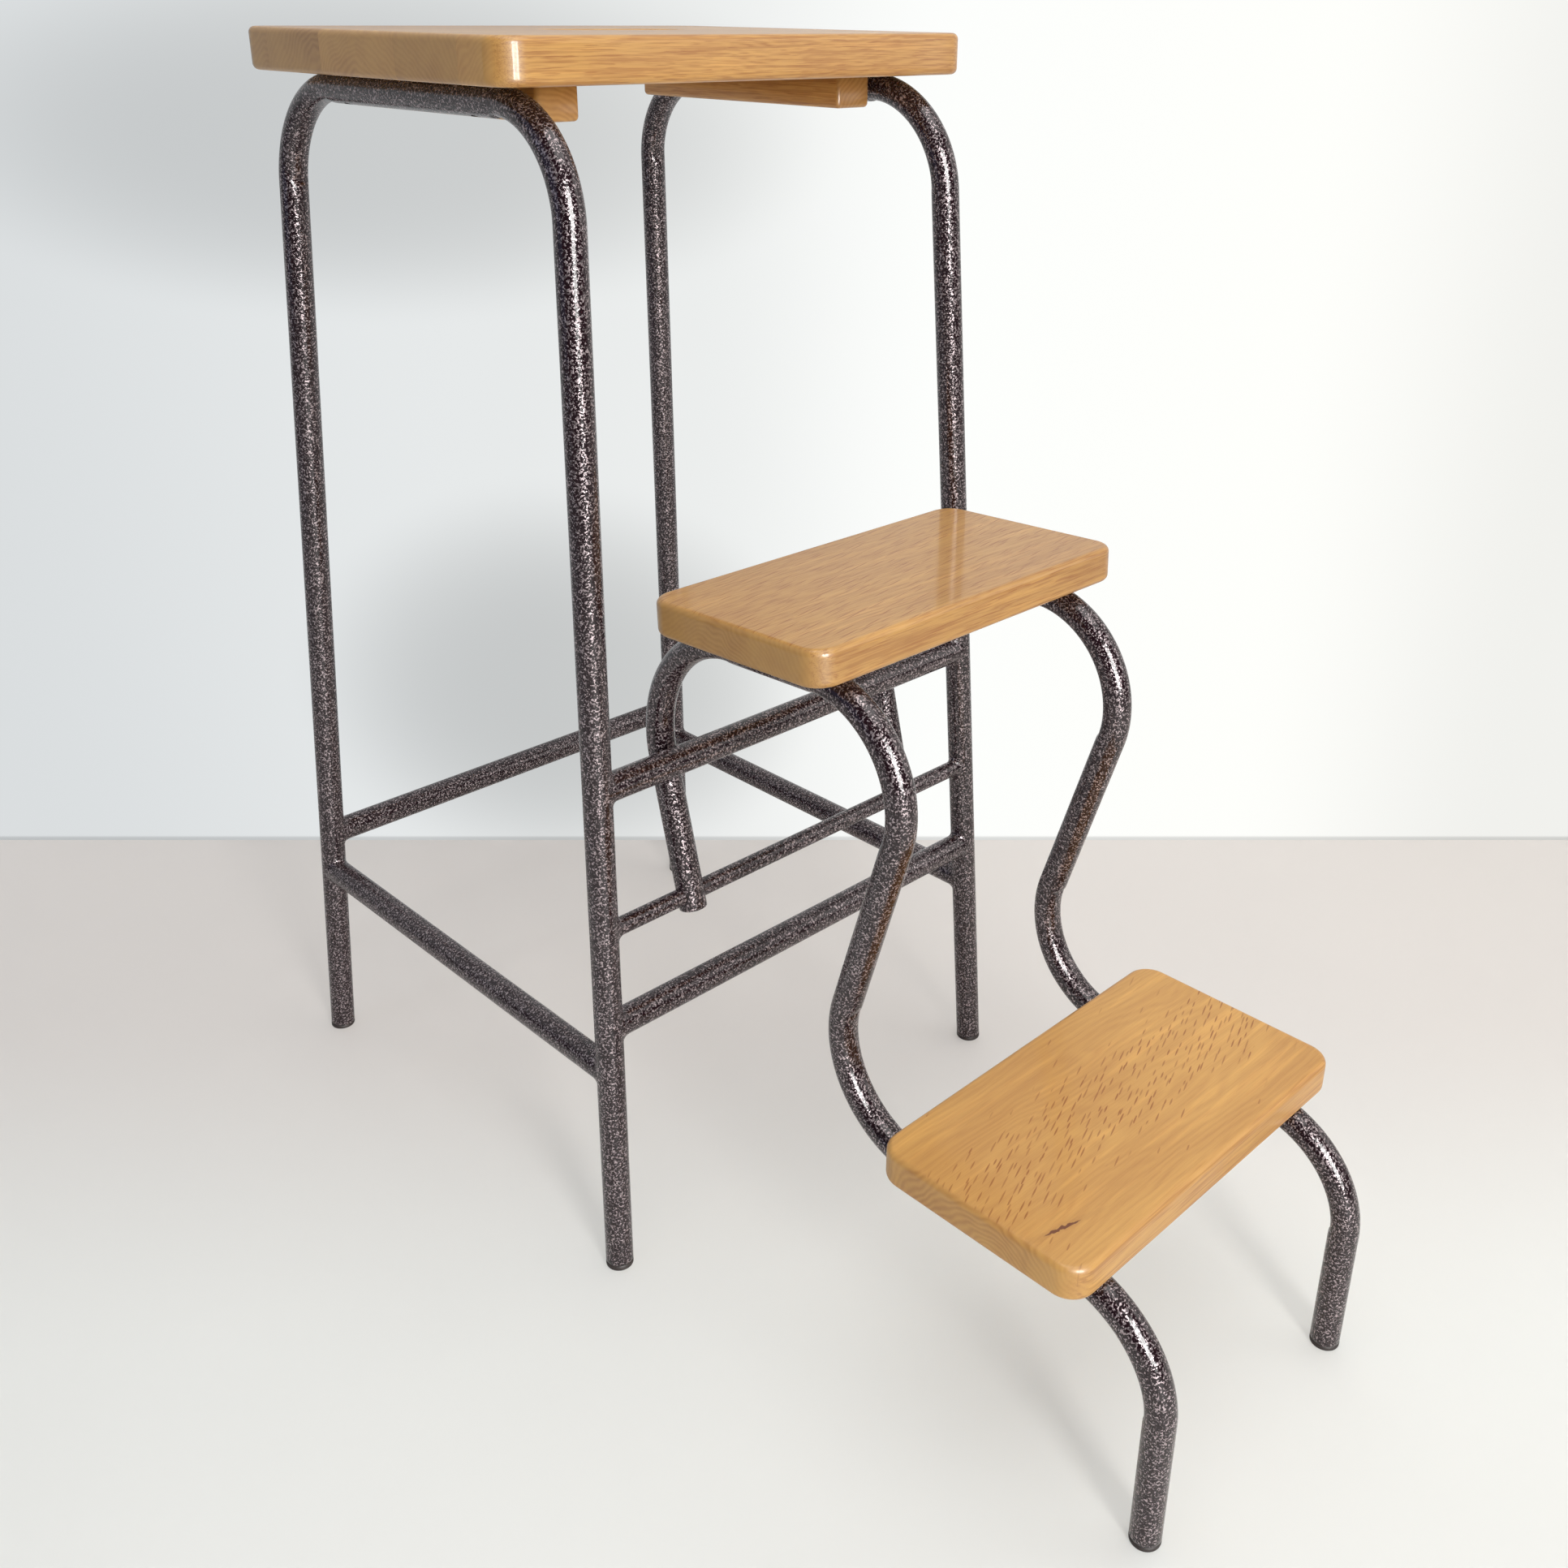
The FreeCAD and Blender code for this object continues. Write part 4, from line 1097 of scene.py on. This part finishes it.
def wall_material(colours, stops, direction, shadows):
    """White wall with painted light graded along its length, painted shade at its foot and painted shadows of
    the stool; its back lets everything through.

    A shadow is a soft ellipse: it fades out where the squares of the distances over its half sizes make one.
    """
    shader = Shader(bpy.data.materials.new("wall_white"))
    place = object_place(shader)
    z = shader.split(place)[2]
    along = shader.vector("DOT_PRODUCT", place, direction, output="Value")
    # Painted light graded along the wall, and painted shade at its foot.
    shine = graded(shader, along, stops) * shader.ease(z, *WALL_FOOT, WALL_FOOT_SHADE, 1.0)
    # Painted shadows of the stool, each a soft dark ellipse.
    for centre, half, depth in shadows:
        aside, above = (along - centre[0]) / half[0], (z - centre[1]) / half[1]
        shine = shine * (1 - depth * shader.ease(aside * aside + above * above, 0.0, 1.0, 1.0, 0.0))
    tint = shader.mix(shader.ease(along, stops[0][0], stops[-1][0]), *colours)
    path = shader.add("ShaderNodeLightPath", output="Is Camera Ray")
    seen = path.math("MAXIMUM", path, path.output("Is Glossy Ray"))
    back = shader.add("ShaderNodeNewGeometry", output="Backfacing")
    light = shader.scaled(shine * (WALL_MIRRORED + (1 - WALL_MIRRORED) * path), tint)
    shown = shader.add("ShaderNodeEmission", None, {"Color": light, "Strength": 1.0})
    plain = shader.add("ShaderNodeBsdfDiffuse", None, {"Color": tint})
    front = shader.add("ShaderNodeMixShader", None, {0: seen, 1: plain, 2: shown})
    clear = shader.add("ShaderNodeBsdfTransparent")
    surface = shader.add("ShaderNodeMixShader", None, {0: back, 1: front, 2: clear})
    shader.add("ShaderNodeOutputMaterial", None, {"Surface": surface})
    return shader.owner


def add_world():
    """Soft pale daylight from everywhere, dimmer where glossy surfaces show the room."""
    world = bpy.data.worlds.new("daylight")
    shader = Shader(world)
    seen = shader.add("ShaderNodeLightPath", output="Is Camera Ray")
    glossy = seen.output("Is Glossy Ray")
    strength = DAYLIGHT - (DAYLIGHT - DAYLIGHT_MIRRORED) * glossy
    daylight = {"Color": (0.95, 0.96, 1.0, 1.0), "Strength": strength}
    fill = shader.add("ShaderNodeBackground", None, daylight)
    shown = shader.add("ShaderNodeBackground", None, {"Color": (0.9, 0.9, 0.89, 1.0), "Strength": 1.0})
    surface = shader.add("ShaderNodeMixShader", None, {0: seen, 1: fill, 2: shown})
    shader.add("ShaderNodeOutputWorld", None, {"Surface": surface})
    bpy.context.scene.world = world


class BuildStage(bpy.types.Operator):
    """Build the pale room, its lamps and the camera"""
    bl_idname = "step_stool.stage"
    bl_label = "Room, lamps and camera"

    def execute(self, context):
        looks = context.scene.stool_finishes
        left, right = (seen_point(edge, WALL_BASE_PX) for edge in (0, IMAGE_SIDE_PX))
        direction = (right - left).normalized()
        floor = [(ROOM_REACH * x, ROOM_REACH * y, 0.0) for x, y in ((-1, -1), (1, -1), (1, 1), (-1, 1))]
        ahead = Vector((-direction.y, direction.x, 0.0))
        depths = [ahead.dot(seen_point(CENTRE_PX[0], down)) for down in (FLOOR_NEAR_PX, FLOOR_FAR_PX)]
        pale = floor_material(looks.floor, looks.floor_near, wall_stops(FLOOR_LIGHT_STOPS_PX, direction), direction,
                              depths, ahead)
        room_plane("floor", floor, pale)
        up = Vector((0.0, 0.0, ROOM_REACH))
        foot = [left - direction * ROOM_REACH, right + direction * ROOM_REACH]
        white = wall_material((looks.wall_left, looks.wall_right), wall_stops(WALL_LIGHT_STOPS_PX, direction),
                              direction, wall_shadows(left, direction, ahead))
        room_plane("wall", [*foot, foot[1] + up, foot[0] + up], white)
        for lamp in LAMPS:
            add_lamp(*lamp)
        add_world()
        add_camera()
        context.scene.view_settings.view_transform = "Standard"
        return {"FINISHED"}


OPERATORS = (BuildStage, BuildSideFrames, BuildBars, BuildStepTubes, BuildFeet, BuildSeat, BuildSteps,
             FinishScrews)
SETTINGS = {"stool_tubes": TubeSizes, "stool_boards": BoardSizes, "stool_feet": FootSizes,
            "stool_finishes": Finishes}


class StepStoolPanel(bpy.types.Panel):
    """Sizes, colours and build steps of the step stool"""
    bl_idname = "VIEW3D_PT_step_stool"
    bl_label = "Step Stool"
    bl_space_type = "VIEW_3D"
    bl_region_type = "UI"
    bl_category = "Step Stool"

    def draw(self, context):
        for name in SETTINGS:
            box = self.layout.box()
            group = getattr(context.scene, name)
            for prop in group.__annotations__:
                box.prop(group, prop)
        for operator in OPERATORS:
            self.layout.operator(operator.bl_idname)


def register():
    for group in (*SETTINGS.values(), *OPERATORS, StepStoolPanel):
        bpy.utils.register_class(group)
    for name, group in SETTINGS.items():
        setattr(bpy.types.Scene, name, PointerProperty(type=group))


def unregister():
    for name in SETTINGS:
        delattr(bpy.types.Scene, name)
    for group in reversed((*SETTINGS.values(), *OPERATORS, StepStoolPanel)):
        bpy.utils.unregister_class(group)


def main():
    register()
    bpy.ops.step_stool.stage()
    bpy.ops.step_stool.side_frames()
    bpy.ops.step_stool.bars()
    bpy.ops.step_stool.step_tubes()
    bpy.ops.step_stool.feet()
    bpy.ops.step_stool.seat()
    bpy.ops.step_stool.steps()
    bpy.ops.step_stool.screws()
    bpy.context.view_layer.update()


if __name__ == "__main__":
    main()
